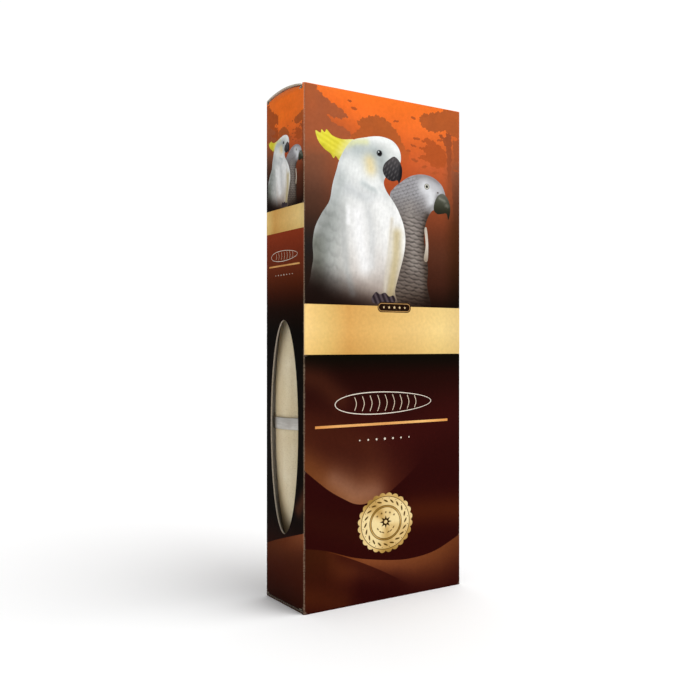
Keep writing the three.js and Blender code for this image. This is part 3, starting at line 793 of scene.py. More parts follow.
SIDE = 0.42                             # size of the narrow walls' pictures against the front's
SIDE_BAND_LOW, SIDE_BAND_HIGH = 123.7, 131.6
SIDE_MARGIN = 0.3                       # from a narrow wall's crease to its picture
SIDE_UP = SIDE_BAND_HIGH - SIDE * BAND_HIGH
BAND_STRETCH, LINE_STRETCH = 2.06, 2.3  # of the gold's tones, to the front's heights and widths
FOOT_LOW = 2.2                          # lower end of the narrow walls' satin


def side_sky(u, z):
    """The front panel's sky at a narrow wall's scale, u from the wall's left crease."""
    return sky((u - SIDE_MARGIN) / SIDE, BAND_HIGH + (z - SIDE_BAND_HIGH) / SIDE)


def side_ground(u, z):
    """Narrow wall, u from its left crease: the small sky over the band, then red-brown sinking to near
    black round the window and warming again at the foot."""
    low = ramp(z, [
        (0, 46, 16, 8), (10, 66, 22, 8), (20, 38, 13, 7), (30, 14, 7, 4), (90, 10, 5, 3), (98, 30, 11, 4),
        (102, 54, 19, 6), (107, 84, 34, 14), (112, 108, 46, 25), (117, 120, 47, 26), (123, 142, 56, 30)])
    low = brush(u, z, (88, 46, 28), low, [(27, 38), (24.5, 35), (22.5, 33)], 2.4, 0.8)
    return np.where((z > (SIDE_BAND_LOW + SIDE_BAND_HIGH) / 2)[..., None], side_sky(u, z), low)


def side_fold(start):
    """Paint of the satin at a narrow wall's foot, lit along its crisp upper rim."""
    def paint(u, z):
        t = u - start
        rim = np.interp(t, [0, DEPTH], [18.4, 26])
        base = ramp(z, [(0, 46, 16, 8), (10, 66, 22, 8), (18, 78, 33, 15), (25, 84, 38, 18)])
        lit = ramp(t, [(0, 84, 38, 16), (14, 104, 50, 24), (26, 136, 74, 44)])
        return mix(base, lit, np.exp(-((np.maximum(rim - z, 0) / 5) ** 2)))
    return paint


def side_print(start, wide):
    """Everything printed on a narrow wall that starts at a crease: small trees and birds over their band, a
    thin line and a plain mark below it, and the satin fold at the foot."""
    def far_paint(u, z):
        return mix(side_sky(u - start, z), (158, 76, 38), 0.75 * smooth(146, 157, z))
    def band_paint(u, z):
        return gold_band((u - start) * LINE_STRETCH + 2, BAND_LOW + (z - SIDE_BAND_LOW) * BAND_STRETCH)
    def line_paint(u, z):
        return gold_line((u - start) * LINE_STRETCH, z) * 0.94
    def wall(u, z):
        return side_ground(u - start, z)
    far = lumps(TREES[0][0], 0.3, 2.6) * 0.75 + (start - 0.5, 40.0)
    rim = curve([(0, 18), (7, 20.4), (17, 23.4), (26, 26)], 6, False) + (start, 0)
    foot = np.vstack([rim, [(start + DEPTH, FOOT_LOW), (start, FOOT_LOW)]])
    return [
        (keep_in(far, start, start + 9, 132, 168.0), far_paint),
        *placed(trees(0.5, 61, 183) + BIRDS, SIDE, start + SIDE_MARGIN, SIDE_UP),
        (bar(start, start + wide, SIDE_BAND_LOW, SIDE_BAND_HIGH), band_paint),
        (bar(start + 2.5, start + 23.4, 112.2, 112.75), line_paint),
        *bone_mark(start + HALF_D, 115.7, 18, 3.6, 0.17, 7, 0.15, wall),
        *dot_row(start + HALF_D, 109.4, 1.9, 0.26, 0.03, 9),
        (keep_in(foot, start, start + wide, FOOT_LOW, 30), side_fold(start))]


def fine_points(outline, step, scale=1.0, du=0.0, dv=0.0):
    """A staggered lattice of points inside an outline, so that a soft paint is sampled finely there."""
    low, high = outline.min(0), outline.max(0)
    x, y = np.meshgrid(np.arange(low[0], high[0], step), np.arange(low[1], high[1], step * 0.87))
    x = x + 0.5 * step * (np.arange(len(x)) % 2)[:, None]
    x, y = x.ravel(), y.ravel()
    keep = inside(x, y, outline) & (y > BAND_HIGH)
    return np.stack([x[keep] * scale + du, y[keep] * scale + dv], -1)


def front_print():
    """The front wall's pieces of print, from the bottom up."""
    badge = [(rounded(28.6, 42.6, 97.2, 100.6, 1.6), DARK_INK),
             (rounded(28.9, 42.3, 97.5, 100.3, 1.35), plain(196, 150, 92)),
             (rounded(29.1, 42.1, 97.7, 100.1, 1.18), DARK_INK)]
    badge += [(star(35.6 + 2.2 * k, 98.9, 0.62 - 0.06 * abs(k)), plain(232, 200, 150)) for k in range(-2, 3)]
    return [
        *trees(0, WIDTH, HEIGHT - 0.15), *waves(0, WIDTH), *BIRDS,
        (bar(0, WIDTH, BAND_LOW, BAND_HIGH), gold_band), *badge,
        (bar(4.2, 59.0, 59.1, 59.95), gold_line),
        *bone_mark(31.6, 66.6, 40, 7.6), *dot_row(31.6, 54.4, 3.4, 0.42, 0.05, 12),
        *placed(seal(), 1.0, -0.12 * SEAL_S, 0, 1.12)]


def back_print():
    """The back wall carries the sky and satin again, with the band, a bare panel for notes and no birds."""
    art = [*trees(0.5, WIDTH, 169.0), *waves(0.5, WIDTH, 1.2),
           (bar(0.5, WIDTH, BAND_LOW, BAND_HIGH), gold_band), (bar(6, 59, 59.1, 59.8), gold_line),
           (rounded(9, 56, 22, 54, 2.5), plain(224, 200, 158)),
           (rounded(9.5, 55.5, 22.5, 53.5, 2.1), plain(30, 12, 8))]
    return placed(art, 1.0, LEFT_U - WIDTH, 0)


def rounded(x0, x1, y0, y1, r):
    """A rectangle with round corners."""
    a = np.linspace(0, np.pi / 2, 7)
    arc = np.stack([np.cos(a), np.sin(a)], -1) * r
    turn = np.array([(0, 1), (-1, 0)])
    out = []
    for cx, cy in ((x1 - r, y1 - r), (x0 + r, y1 - r), (x0 + r, y0 + r), (x1 - r, y0 + r)):
        out.append(arc + (cx, cy))
        arc = arc @ turn
    return np.vstack(out)


def sleeve_ground(u, z, centre):
    """Ground print of each wall, chosen by the triangle's middle so that inks meet exactly on the creases."""
    def wide_wall(s):
        return np.where((z > (BAND_LOW + BAND_HIGH) / 2)[..., None], sky(s, z), satin(s, z))
    out = wide_wall(u - (LEFT_U - WIDTH))
    for crease, wall in ((LEFT_U, side_ground(u - LEFT_U, z)), (FRONT_U, wide_wall(u)),
                         (RIGHT_U, side_ground(u - RIGHT_U, z)), (LAP_U, PAPER(u, z))):
        out = np.where((centre > crease)[..., None], wall, out)
    return out


NOTCH = 0.91                            # a corner's reach round a crease before a flap's slot begins
FLAP_LOW, FLAP_HIGH = 1.6, 168.35       # ends of the walls that carry dust flaps
BACK_LOW, BACK_HIGH = 0.8, 169.2        # ends of the back wall, where its flaps' creases begin
SLEEVE_BORDER = [
    (BACK_U, BACK_LOW), (LEFT_U + NOTCH, BACK_LOW), (LEFT_U + NOTCH, FLAP_LOW), (-NOTCH, FLAP_LOW),
    (-NOTCH, 0), (RIGHT_U + NOTCH, 0), (RIGHT_U + NOTCH, FLAP_LOW), (LAP_U, FLAP_LOW), (LAP_END, 5.6),
    (LAP_END, 164.35), (LAP_U, FLAP_HIGH), (RIGHT_U + NOTCH, FLAP_HIGH), (RIGHT_U + NOTCH, HEIGHT),
    (-NOTCH, HEIGHT), (-NOTCH, FLAP_HIGH), (LEFT_U + NOTCH, FLAP_HIGH), (LEFT_U + NOTCH, BACK_HIGH),
    (BACK_U, BACK_HIGH)]
FOLD_RUB_AND_HIGHLIGHT = 0.24                        # half width of the pale wear and painted highlight along a crease
SLEEVE_STEP_U, SLEEVE_STEP_V = 1.3, 1.25


def sleeve():
    """The four walls and the glue lap, folded from one net, with the oval window."""
    narrow = [*side_print(LEFT_U, DEPTH), *side_print(RIGHT_U, LAP_U - RIGHT_U)]
    regions = [*narrow, *back_print(), *front_print()]
    us = np.arange(BACK_U + SLEEVE_STEP_U, LAP_END, SLEEVE_STEP_U)
    us = us[np.abs(us[:, None] - CREASES).min(1) > SLEEVE_STEP_U]
    us = np.unique(np.round(np.append(us, CREASES[:, None] + np.linspace(-1, 1, 11)), 4))
    vs = np.arange(1.2, HEIGHT, SLEEVE_STEP_V)
    fine = ((COCKATOO, 0.42), (PARROT, 0.34), (CREST, 0.3), (BEAK, 0.25))
    extra = [fine_points(outline, step) for outline, step in fine]
    for start in (LEFT_U + SIDE_MARGIN, RIGHT_U + SIDE_MARGIN):
        for outline, step in ((COCKATOO, 0.62), (PARROT, 0.6)):
            extra.append(fine_points(outline, step, SIDE, start, SIDE_UP))
    window = disc(LEFT_U + HALF_D, WINDOW_Z, WINDOW_A, WINDOW_B, 128)
    piece = board_piece(
        "printed_sleeve", SLEEVE_BORDER, sleeve_place, sleeve_ground, LINER, us, vs,
        regions=regions, holes=[window], extra=np.vstack(extra),
        crease=lambda u, z: np.exp(-((np.abs(u[..., None] - CREASES).min(-1) / FOLD_RUB_AND_HIGHLIGHT) ** 2)))
    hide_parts("carton_sleeve")
    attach(piece, "carton")
    return piece


# ---- Lid, tuck and flaps -------------------------------------------------------------------------------
TUCK_LENGTH, TUCK_LEAN = 12.0, np.radians(20)
LID_HALF, TUCK_HALF = HALF_W - GAP, HALF_W - BOARD - 1
FOLD_REACH = 1.5        # from the tuck's crease to where the lid's arc begins
FLAP_RUB_AND_HIGHLIGHT = 0.4              # half width of the wear and painted highlight along a flap's crease


def closure_route():
    """Board middle of the lid and tuck, in the YZ plane: up the leaning tuck, round the front crease, over
    the lid's arc and down round the back crease to the top of the back wall."""
    lean = np.array([np.sin(TUCK_LEAN), -np.cos(TUCK_LEAN)])
    tuck = np.array([TUCK_Y, LID_Z]) + lean * np.array([[TUCK_LENGTH], [0.8]])
    y = np.linspace(TUCK_Y + FOLD_REACH, 12.05, 60)
    arc = np.stack([y, lid_arc(y)], -1)
    front = bezier(tuck[1], (TUCK_Y - 0.1, LID_Z + 0.16), arc[0], 14)
    back = bezier(arc[-1], (LID_Y, LID_Z + 0.06), (LID_Y, 169.45), 12)
    return Route(np.vstack([tuck[:1], front, arc, back, [(LID_Y, BACK_HIGH)]]))


CLOSURE = closure_route()
LID_START = CLOSURE.where(TUCK_Y + FOLD_REACH)
FRONT_FOLD = LID_START - 0.9    # the front crease, as a distance along the closure


def closure_place(x, run):
    """The lid and tuck's outer face: x across, and the distance along the closure's line."""
    return np.column_stack([x, CLOSURE.at(run, BOARD / 2)])


def lid_ground(x, run, centre):
    """Sunset orange, a little deeper towards the back, with hazy leaf shadow."""
    out = ramp(run, [(0, 242, 116, 44), (14, 250, 122, 46), (38, 236, 108, 42)])
    veil = smooth(0.1, 0.9, noise(x, run, 17, 2.2)) * smooth(24, 34, run)
    return mix(out, (176, 88, 46), 0.7 * veil)


def near_any(value, places, width):
    """1 on any of the places, dying away over the width as a bell curve."""
    return np.max([np.exp(-(((value - p) / width) ** 2)) for p in places], 0)


def top_lid():
    """The bowed lid panel, from the front crease to the back one."""
    end = CLOSURE.length
    vs = np.concatenate([LID_START + np.arange(0.5, 22.6, 0.9), end - np.arange(0.12, 1.6, 0.12)])
    border = [(-LID_HALF, LID_START), (LID_HALF, LID_START), (LID_HALF, end), (-LID_HALF, end)]
    piece = board_piece("lid_panel", border, closure_place, lid_ground, LINER,
                        np.arange(-31.2, 31.3, 1.6), np.unique(vs),
                        crease=lambda x, run: near_any(run, [FRONT_FOLD, end - 0.75], FLAP_RUB_AND_HIGHLIGHT))
    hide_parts("top_lid")
    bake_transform(piece)
    return piece


def top_tuck():
    """The tuck, with round corners, hanging from the front crease."""
    r, w = 5.0, TUCK_HALF
    def arc(cx, begin):
        a = begin + np.linspace(0, np.pi / 2, 10)
        return np.stack([cx + r * np.cos(a), r + r * np.sin(a)], -1)
    border = np.vstack([arc(w - r, -np.pi / 2), [(w, LID_START), (-w, LID_START)], arc(r - w, np.pi)])
    vs = np.concatenate([np.arange(1, 10.9, 1.0), np.arange(11.0, LID_START, 0.12)])
    piece = board_piece("lid_tuck", border, closure_place, lid_ground, LINER,
                        np.arange(-30.4, 30.5, 1.6), vs,
                        crease=lambda x, run: near_any(run, [FRONT_FOLD], FLAP_RUB_AND_HIGHLIGHT))
    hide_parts("top_tuck")
    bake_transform(piece)
    return piece


DUST_LENGTH, DUST_FRONT, DUST_REAR, DUST_TAPER, DUST_CORNER = 21.0, -10.1, 10.9, 0.47, 3.0


def dust_border(reach, mirrored):
    """Net of a dust flap: straight front edge, tapered rear edge and one round corner. The second coordinate
    is the depth, turned round on a mirrored flap."""
    a = np.linspace(-np.pi / 2, 0, 8)
    corner = np.stack([reach - DUST_CORNER + DUST_CORNER * np.cos(a),
                       DUST_FRONT + DUST_CORNER + DUST_CORNER * np.sin(a)], -1)
    tip = DUST_REAR - DUST_TAPER * DUST_LENGTH
    rear = [(reach, tip), (reach - DUST_LENGTH, DUST_REAR), (0, DUST_REAR)]
    line = np.vstack([[(0, DUST_FRONT)], corner, rear])
    return (line * (1, -1))[::-1] if mirrored else line


def dust_place(sign, upper):
    """Outer face of a dust flap: a quarter of an ellipse from the end of its wall, then a run inwards. An
    upper flap springs up at its crease almost to the bowed lid, and sinks to its flat height within 8 mm."""
    def place(run, v):
        y = -sign * v if upper else sign * v
        if upper:
            turn, rise, start, level = 2.2, 1.3, FLAP_HIGH, DUST_Z + BOARD / 2
            peak = lid_arc(np.clip(y, -11.2, 12)) - BOARD / 2 - 0.12
        else:
            turn, rise, start, level = 1.2, 0.55, FLAP_LOW, BOTTOM_DUST_Z - BOARD / 2
            peak = level + 0 * y
        q = np.clip(run / turn, 0, 1) * np.pi / 2
        inward = rise * (1 - np.cos(q)) + np.maximum(run - turn, 0)
        z = start + (peak - start) * np.sin(q) + np.minimum(run, 0) * (1 if upper else -1)
        z = z + (level - peak) * smooth(0, 8, run - turn)
        return np.column_stack([sign * (HALF_W - inward), y, z])
    return place


def dust_flap(name, node, sign, upper):
    """A dust flap on the left (sign -1) or right (sign 1) wall. An upper one is placed but attached to no
    body;
    a lower one is glued, and attached to the carton.
    """
    body = ("dust_flap_left" if sign < 0 else "dust_flap_right") if upper else "carton"
    reach = DUST_LENGTH + (1.2 if upper else 0.6)
    mirrored = (sign > 0) == upper
    place = dust_place(sign, upper)
    border = dust_border(reach, mirrored)
    us = np.concatenate([np.arange(0.15, 2.6, 0.2), np.arange(3, reach, 1.2)])
    def tint(u, v, centre):
        if upper:
            return lid_ground(v * 1.3, u + 8, centre)
        return mix(ramp(u, [(0, 46, 16, 8), (3, 40, 14, 8)]), PAPER(u, v), smooth(2.6, 4.4, u))
    piece = board_piece(name, border, place, tint, LINER, us, np.arange(-10, 11, 1.4),
                        crease=lambda u, v: 0.4 * near_any(u, [1.1], FLAP_RUB_AND_HIGHLIGHT))
    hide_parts(node)
    if upper:
        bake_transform(piece)
    else:
        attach(piece, body)
    return piece


def bottom_flap():
    """Bottom panel hinged on the back wall, with its tab glued up behind the front wall."""
    back = bezier((LID_Y, 0.75), (LID_Y, BOTTOM_Z), (LID_Y - 0.5, BOTTOM_Z), 9)
    front = bezier((TUCK_Y + 0.6, BOTTOM_Z), (TUCK_Y, BOTTOM_Z), (TUCK_Y, BOTTOM_Z + 0.6), 9)
    route = Route(np.vstack([[(LID_Y, BACK_LOW)], back, front, [(TUCK_Y, BOTTOM_Z + TUCK_LENGTH)]]))
    step = route.length - TUCK_LENGTH + 0.75
    end, w, n = route.length, LID_HALF, TUCK_HALF
    border = [(-w, 0), (w, 0), (w, step - 0.6), (n, step), (n, end - 3), (n - 3, end), (3 - n, end),
              (-n, end - 3), (-n, step), (-w, step - 0.6)]
    def place(x, run):
        return np.column_stack([x, route.at(run, BOARD / 2)])
    def ground(x, run, centre):
        return ramp(x, [(-32, 50, 20, 10), (0, 58, 22, 11), (32, 46, 16, 9)])
    vs = np.concatenate([np.arange(0.1, 1.4, 0.14), np.arange(2, step - 1.4, 1.4),
                         np.arange(step - 1.2, step + 0.6, 0.14), np.arange(step + 1.4, end, 1.4)])
    # the bottom panel's cut edge gets the dark edge finish, which is painted shade
    piece = board_piece("bottom_panel", border, place, ground, [INK, RAW_BOARD, SHADED_BOTTOM_EDGE],
                        np.arange(-30.6, 31, 1.8), np.unique(vs),
                        crease=lambda x, run: near_any(run, [0.6, step - 0.4], FLAP_RUB_AND_HIGHLIGHT))
    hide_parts("bottom_flap")
    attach(piece, "carton")
    return piece


# ---- The cuttlebone ------------------------------------------------------------------------------------
BONE_LENGTH, BONE_WIDTH, BONE_DORSAL, BONE_VENTRAL = 154.0, 59.0, 2.6, 17.6
BONE_MARGIN_Y, BONE_BOW = 8.5, 1.8
BONE_FOOT, BONE_TURN = np.array((-1.35, 0.0, 1.7)), np.radians(-2.0)
BONE_WIDEST, BELLY_PEAK, BLUNT, POINTED, SQUARE = 0.42, 0.36, 3.2, 1.9, 2.8
SULCUS_DEPTH, SULCUS_WIDTH = 0.9, 4.0
MARGIN_POWER = 0.7                      # sharpness of the outline's hind end
CHAMBERS, ARCH = 78, 0.055              # chamber edges in the whole length, and how far they arch
ROWS, COLUMNS = 330, 256                # rings along the bone, and points round each
SPINE_LEVELS, SPINE_TURNS = 9, 20


def arched(s, angle):
    """Share of the length, carried forward at the margins, so that equal values arch across the bone."""
    return s + ARCH * np.cos(angle) ** 2


def swell(s, peak, blunt, pointed, power):
    """A rise from 0 to 1 and back along the length: a super-ellipse up to the peak, a power after it."""
    before = np.clip(1 - np.abs(1 - s / peak) ** blunt, 0, 1) ** (1 / blunt)
    after = np.clip(1 - np.abs((s - peak) / (1 - peak)) ** pointed, 0, 1) ** power
    return np.where(s < peak, before, after)


def bulge(value):
    """A sine or cosine pressed outwards, which squares the ellipse."""
    return np.sign(value) * np.abs(value) ** (2 / SQUARE)


def bone_point(s, angle, grow=0.0):
    """The bone's surface: at share s of its length, a squared ellipse round the margin line, shallow behind
    and deep in front, with a groove down the hind half of the belly. Angle 0 is the right margin, a quarter
    turn the back. grow pushes the section out along its own radius."""
    half = BONE_WIDTH / 2 * swell(s, BONE_WIDEST, BLUNT, POINTED, MARGIN_POWER)
    dorsal = BONE_DORSAL * swell(s, 0.5, BLUNT, BLUNT, 0.5)
    ventral = BONE_VENTRAL * swell(s, BELLY_PEAK, BLUNT, POINTED, 0.85)
    margin = BONE_MARGIN_Y - BONE_BOW * (2 * s - 1) ** 2
    rise, reach = bulge(np.sin(angle)), bulge(np.cos(angle))
    x = half * reach
    hind = smooth(BELLY_PEAK, 0.6, s) * (1 - smooth(0.8, 0.95, s))
    groove = np.where(rise < 0, SULCUS_DEPTH * hind * np.exp(-((x / SULCUS_WIDTH) ** 2)), 0)
    y = margin + np.where(rise > 0, dorsal, ventral) * rise + groove
    size = np.hypot(np.cos(angle), np.sin(angle) * 0.8)
    x, y = x + grow * np.cos(angle) / size, y + grow * np.sin(angle) / size
    return np.stack([x, y, s * BONE_LENGTH + 0 * x], -1)


def to_carton(points):
    """From the bone's own frame to the carton's: a turn about the upright axis, then the foot's place."""
    c, s = np.cos(BONE_TURN), np.sin(BONE_TURN)
    x, y, z = np.moveaxis(points, -1, 0)
    return np.stack([c * x - s * y, s * x + c * y, z], -1) + BONE_FOOT


def wrapped_faces(rows, columns):
    """Quads between neighbouring rings of points, each ring closed on itself."""
    i, j = np.meshgrid(np.arange(rows - 1), np.arange(columns), indexing="ij")
    k = (j + 1) % columns
    here, above = i * columns, (i + 1) * columns
    return np.stack([here + j, here + k, above + k, above + j], -1).reshape(-1, 4)


def growth_relief(s, angle):
    """Relief in millimetres. The belly's hind half shows the edges of its chambers as fine arched steps, the
    back is pebbled in curved rows, and the soft chalk is dimpled all over, least along the margin."""
    belly = smooth(0.05, -0.25, np.sin(angle))
    back = smooth(0.05, 0.3, np.sin(angle))
    arch = arched(s, angle)
    steps = np.abs(((arch * CHAMBERS) % 1) - 0.5) * 2
    middle = smooth(0.97, 0.8, np.abs(np.cos(angle)))
    hind = smooth(0.38, 0.56, arch) * smooth(0.99, 0.9, arch)
    chambers = -0.07 * (1 - steps) ** 2 * hind * belly * middle
    pebbles = np.sin(150 * (s + 0.05 * np.cos(angle) ** 2)) * np.sin(64 * angle + 9 * np.sin(31 * s))
    rows = 0.07 * pebbles * back
    x, z = np.cos(angle) * 29, s * BONE_LENGTH
    fine = noise(x + 9 * np.sin(angle), z, 4.2, 1.1)
    broad = noise(z, x - 6 * np.sin(angle), 11, 3.3)
    dimples = 0.05 * fine + 0.045 * broad
    return chambers + rows + dimples * (0.35 + 0.65 * np.abs(np.sin(angle)))


def cuttlebone():
    """The bone: rings of its section from the foot to the hind end, closer together near both ends, each end
    closed by a fan, with the small spine as rings of a cone."""
    t = np.linspace(0.004, 0.996, ROWS)
    s = 0.5 * (1 - np.cos(np.pi * t)) * 0.5 + t * 0.5
    angle = np.linspace(0, 2 * np.pi, COLUMNS, endpoint=False)
    s_grid, a_grid = np.meshgrid(s, angle, indexing="ij")
    relief = growth_relief(s_grid, a_grid) * smooth(0, 0.02, s_grid) * smooth(1, 0.98, s_grid)
    body = bone_point(s_grid, a_grid, relief).reshape(-1, 3)
    ends = bone_point(np.array([0.0, 1.0]), np.array([0.0, 0.0]))
    ring = np.arange(COLUMNS)
    after = (ring + 1) % COLUMNS
    first, last = len(body), len(body) + 1
    top = (ROWS - 1) * COLUMNS
    quads = wrapped_faces(ROWS, COLUMNS).tolist()
    fans = np.stack([after, ring, np.full(COLUMNS, first)], -1).tolist()
    fans += np.stack([top + ring, top + after, np.full(COLUMNS, last)], -1).tolist()

    up = np.linspace(0, 1, SPINE_LEVELS)
    a = np.linspace(0, 2 * np.pi, SPINE_TURNS, endpoint=False)
    radius = 1.35 * (1 - up) ** 0.8 + 0.02
    hind = ends[1]
    spine = np.stack([hind[0] + radius[:, None] * np.cos(a), hind[1] + radius[:, None] * np.sin(a),
                      hind[2] - 1.2 + 4.2 * up[:, None] + 0 * a], -1).reshape(-1, 3)
    base = last + 1
    spine_faces = (wrapped_faces(SPINE_LEVELS, SPINE_TURNS) + base).tolist()
    tip = base + (SPINE_LEVELS - 1) * SPINE_TURNS
    spine_faces += [list(range(base + SPINE_TURNS - 1, base - 1, -1)), list(range(tip, tip + SPINE_TURNS))]
    points = to_carton(np.vstack([body, ends, spine]))
    faces = quads + fans + spine_faces
    piece = build_mesh("cuttlebone_body", points, faces, np.zeros(len(faces), int), [CHALK])
    rim = np.exp(-((np.sin(a_grid) / 0.16) ** 2)).ravel()
    arch = (arched(s_grid, a_grid) * CHAMBERS).ravel()
    striped = (smooth(0.97, 0.8, np.abs(np.cos(a_grid))) * smooth(0.38, 0.56, s_grid)).ravel()
    back = smooth(0.0, 0.25, np.sin(a_grid)).ravel()
    for label, values in (("Rim", rim), ("Chamber", arch), ("Striped", striped), ("Back", back)):
        full = np.zeros(len(points), np.float32)
        full[:len(values)] = values
        piece.data.attributes.new(label, "FLOAT", "POINT").data.foreach_set("value", full)
    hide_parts("cuttlebone")
    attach(piece, "carton")
    return piece


# ---- The clip ------------------------------------------------------------------------------------------
STRAP_HEIGHT, STRAP_THICK, STRAP_CLAW = 4.0, 0.5, 0.62      # the claw's reach is an angle in radians
METAL_ROUND = 0.18
STRAP_Z = WINDOW_Z + 0.8 - BONE_FOOT[2]
TONGUE_LENGTH, TONGUE_WIDTH, TONGUE_X = 9.0, 4.0, 9.0


def strip(centre, across, normal, width, thick):
    """A band of metal: a rectangle with rounded corners, drawn along the centre line. across is the band's
    width direction and normal its thickness direction at each step. The width narrows to a round at both
    ends."""
    a = np.linspace(0, np.pi / 2, 6)
    arc = np.stack([np.cos(a), np.sin(a)], -1) * METAL_ROUND
    quarter = np.array([(0, 1), (-1, 0)])
    corners = [((1, 1), arc), ((-1, 1), arc @ quarter), ((-1, -1), -arc), ((1, -1), -(arc @ quarter))]
    rows = len(centre)
    run = np.append(0, np.cumsum(np.linalg.norm(np.diff(centre, axis=0), axis=1)))
    to_end = np.minimum(run, run[-1] - run)
    soft = np.sqrt(np.clip(1 - (1 - np.clip(to_end / 1.2, 0, 1)) ** 2, 0.02, 1))
    rings = []
    for (sx, sy), corner in corners:
        straight = np.maximum(width / 2 * soft - METAL_ROUND, 0.0)
        wide = sx * straight[:, None] + corner[:, 0] * np.minimum(1, soft * 3)[:, None]
        deep = sy * (thick / 2 - METAL_ROUND) + corner[:, 1] + 0 * wide
        rings.append(centre[:, None] + across[:, None] * wide[..., None] + normal[:, None] * deep[..., None])
    points = np.concatenate(rings, 1)
    columns = points.shape[1]
    faces = wrapped_faces(rows, columns).tolist()
    last = (rows - 1) * columns
    faces += [list(range(columns - 1, -1, -1)), list(range(last, last + columns))]
    return points.reshape(-1, 3), faces


def bone_clip():
    """Spring-steel strap over the bone's back with a claw round each margin, and two flat tongues for a cage
    wire hanging from it."""
    s = STRAP_Z / BONE_LENGTH
    away = GAP + STRAP_THICK / 2
    angle = np.linspace(-STRAP_CLAW, np.pi + STRAP_CLAW, 190)
    share, step = np.full_like(angle, s), 0.01
    here = bone_point(share, angle)
    along = bone_point(share, angle + step) - bone_point(share, angle - step)
    along /= np.linalg.norm(along, axis=1)[:, None]
    normal = np.stack([along[:, 1], -along[:, 0], 0 * angle], -1)
    up = np.tile((0.0, 0.0, 1.0), (len(angle), 1))
    points, faces = strip(here + normal * away, up, normal, STRAP_HEIGHT, STRAP_THICK)
    parts, counts = [(points, faces)], len(points)
    half = BONE_WIDTH / 2 * float(swell(np.array(s), BONE_WIDEST, BLUNT, POINTED, MARGIN_POWER))
    for side in (-1, 1):
        turn = np.arccos((TONGUE_X / half) ** (SQUARE / 2))
        y = float(bone_point(np.array(s), np.array(turn))[1]) + away + 0.02
        z = STRAP_Z - np.linspace(-1.2, TONGUE_LENGTH, 26)
        lift = 0.25 * smooth(STRAP_Z - 6.0, STRAP_Z - TONGUE_LENGTH, z)
        centre = np.stack([side * TONGUE_X + 0 * z, y + lift, z], -1)
        across = np.tile((-1.0, 0.0, 0.0), (len(z), 1))
        out = np.tile((0.0, 1.0, 0.0), (len(z), 1))
        tongue, more = strip(centre, across, out, TONGUE_WIDTH, STRAP_THICK)
        parts.append((tongue, [[i + counts for i in face] for face in more]))
        counts += len(tongue)
    points = to_carton(np.vstack([p for p, _ in parts]))
    faces = [f for _, part in parts for f in part]
    piece = build_mesh("steel_clip", points, faces, np.zeros(len(faces), int), [STEEL])
    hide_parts("bone_clip")
    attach(piece, "carton")
    return piece


# ---- Finishes ------------------------------------------------------------------------------------------
class Finish:
    """A material whose nodes are added by short calls and joined as they are made."""
    def __init__(self, name, **sockets):
        self.material = bpy.data.materials.new(name)
        self.material.use_nodes = True
        self.tree = self.material.node_tree
        self.tree.nodes.clear()
        self.shader = self.node("ShaderNodeBsdfPrincipled")
        out = self.node("ShaderNodeOutputMaterial")
        self.tree.links.new(self.shader.outputs[0], out.inputs[0])
        for key, value in sockets.items():
            self.shader.inputs[key.replace("_", " ")].default_value = value
        self.place = self.node("ShaderNodeTexCoord").outputs["Object"]

    def node(self, kind, links=(), **settings):
        """A new node, with its settings, and a value or another node's output for each socket in links."""
        made = self.tree.nodes.new(kind)
        for key, value in settings.items():
            setattr(made, key, value)
        for socket, value in dict(links).items():
            self.put(made.inputs[socket], value)
        return made

    def put(self, socket, value):
        """Joins an output to the socket, or sets the socket's own value."""
        if isinstance(value, bpy.types.NodeSocket):
            self.tree.links.new(value, socket)
        else:
            socket.default_value = value

    def attribute(self, name, output="Fac"):
        return self.node("ShaderNodeAttribute", attribute_name=name).outputs[output]

    def stretched(self, scale):
        """Object coordinates, multiplied by a scale along each axis."""
        return self.node("ShaderNodeMapping", {"Vector": self.place, "Scale": scale}).outputs[0]

    def cloud(self, scale, detail=3.0, roughness=0.55, vector=None):
        """Fractal noise, scale in cycles to the metre, from object coordinates or those given."""
        links = {"Vector": self.place if vector is None else vector, "Scale": scale, "Detail": detail,
                 "Roughness": roughness}
        return self.node("ShaderNodeTexNoise", links).outputs["Fac"]

    def cells(self, scale):
        """Distance to the nearest of scattered points."""
        links = {"Vector": self.place, "Scale": scale}
        return self.node("ShaderNodeTexVoronoi", links, feature="F1").outputs["Distance"]

    def span(self, value, low, high, to_low=0.0, to_high=1.0):
        """The value's range from low to high, carried over to another range and held inside it."""
        links = {"Value": value, "From Min": low, "From Max": high, "To Min": to_low, "To Max": to_high}
        return self.node("ShaderNodeMapRange", links, clamp=True).outputs[0]

    def maths(self, operation, a, b=0.0):
        return self.node("ShaderNodeMath", {0: a, 1: b}, operation=operation).outputs[0]

    def blend(self, share, a, b, mode="MIX"):
        """Colour a where share is 0, and b, or a mixed with b in the mode, where it is 1."""
        made = self.node("ShaderNodeMix", data_type="RGBA", blend_type=mode)
        self.put(made.inputs[0], share)
        self.put(made.inputs[6], a)
        self.put(made.inputs[7], b)
        return made.outputs[2]

    def relief(self, layers):
        """Bumps in turn: each layer is (height, depth in millimetres)."""
        normal = None
        for height, depth in layers:
            made = self.node("ShaderNodeBump", {"Height": height, "Distance": depth * MM, "Strength": 1.0})
            if normal is not None:
                self.put(made.inputs["Normal"], normal)
            normal = made.outputs[0]
        self.put(self.shader.inputs["Normal"], normal)

    def colour(self, value):
        self.put(self.shader.inputs["Base Color"], value)

    def roughness(self, value):
        self.put(self.shader.inputs["Roughness"], value)


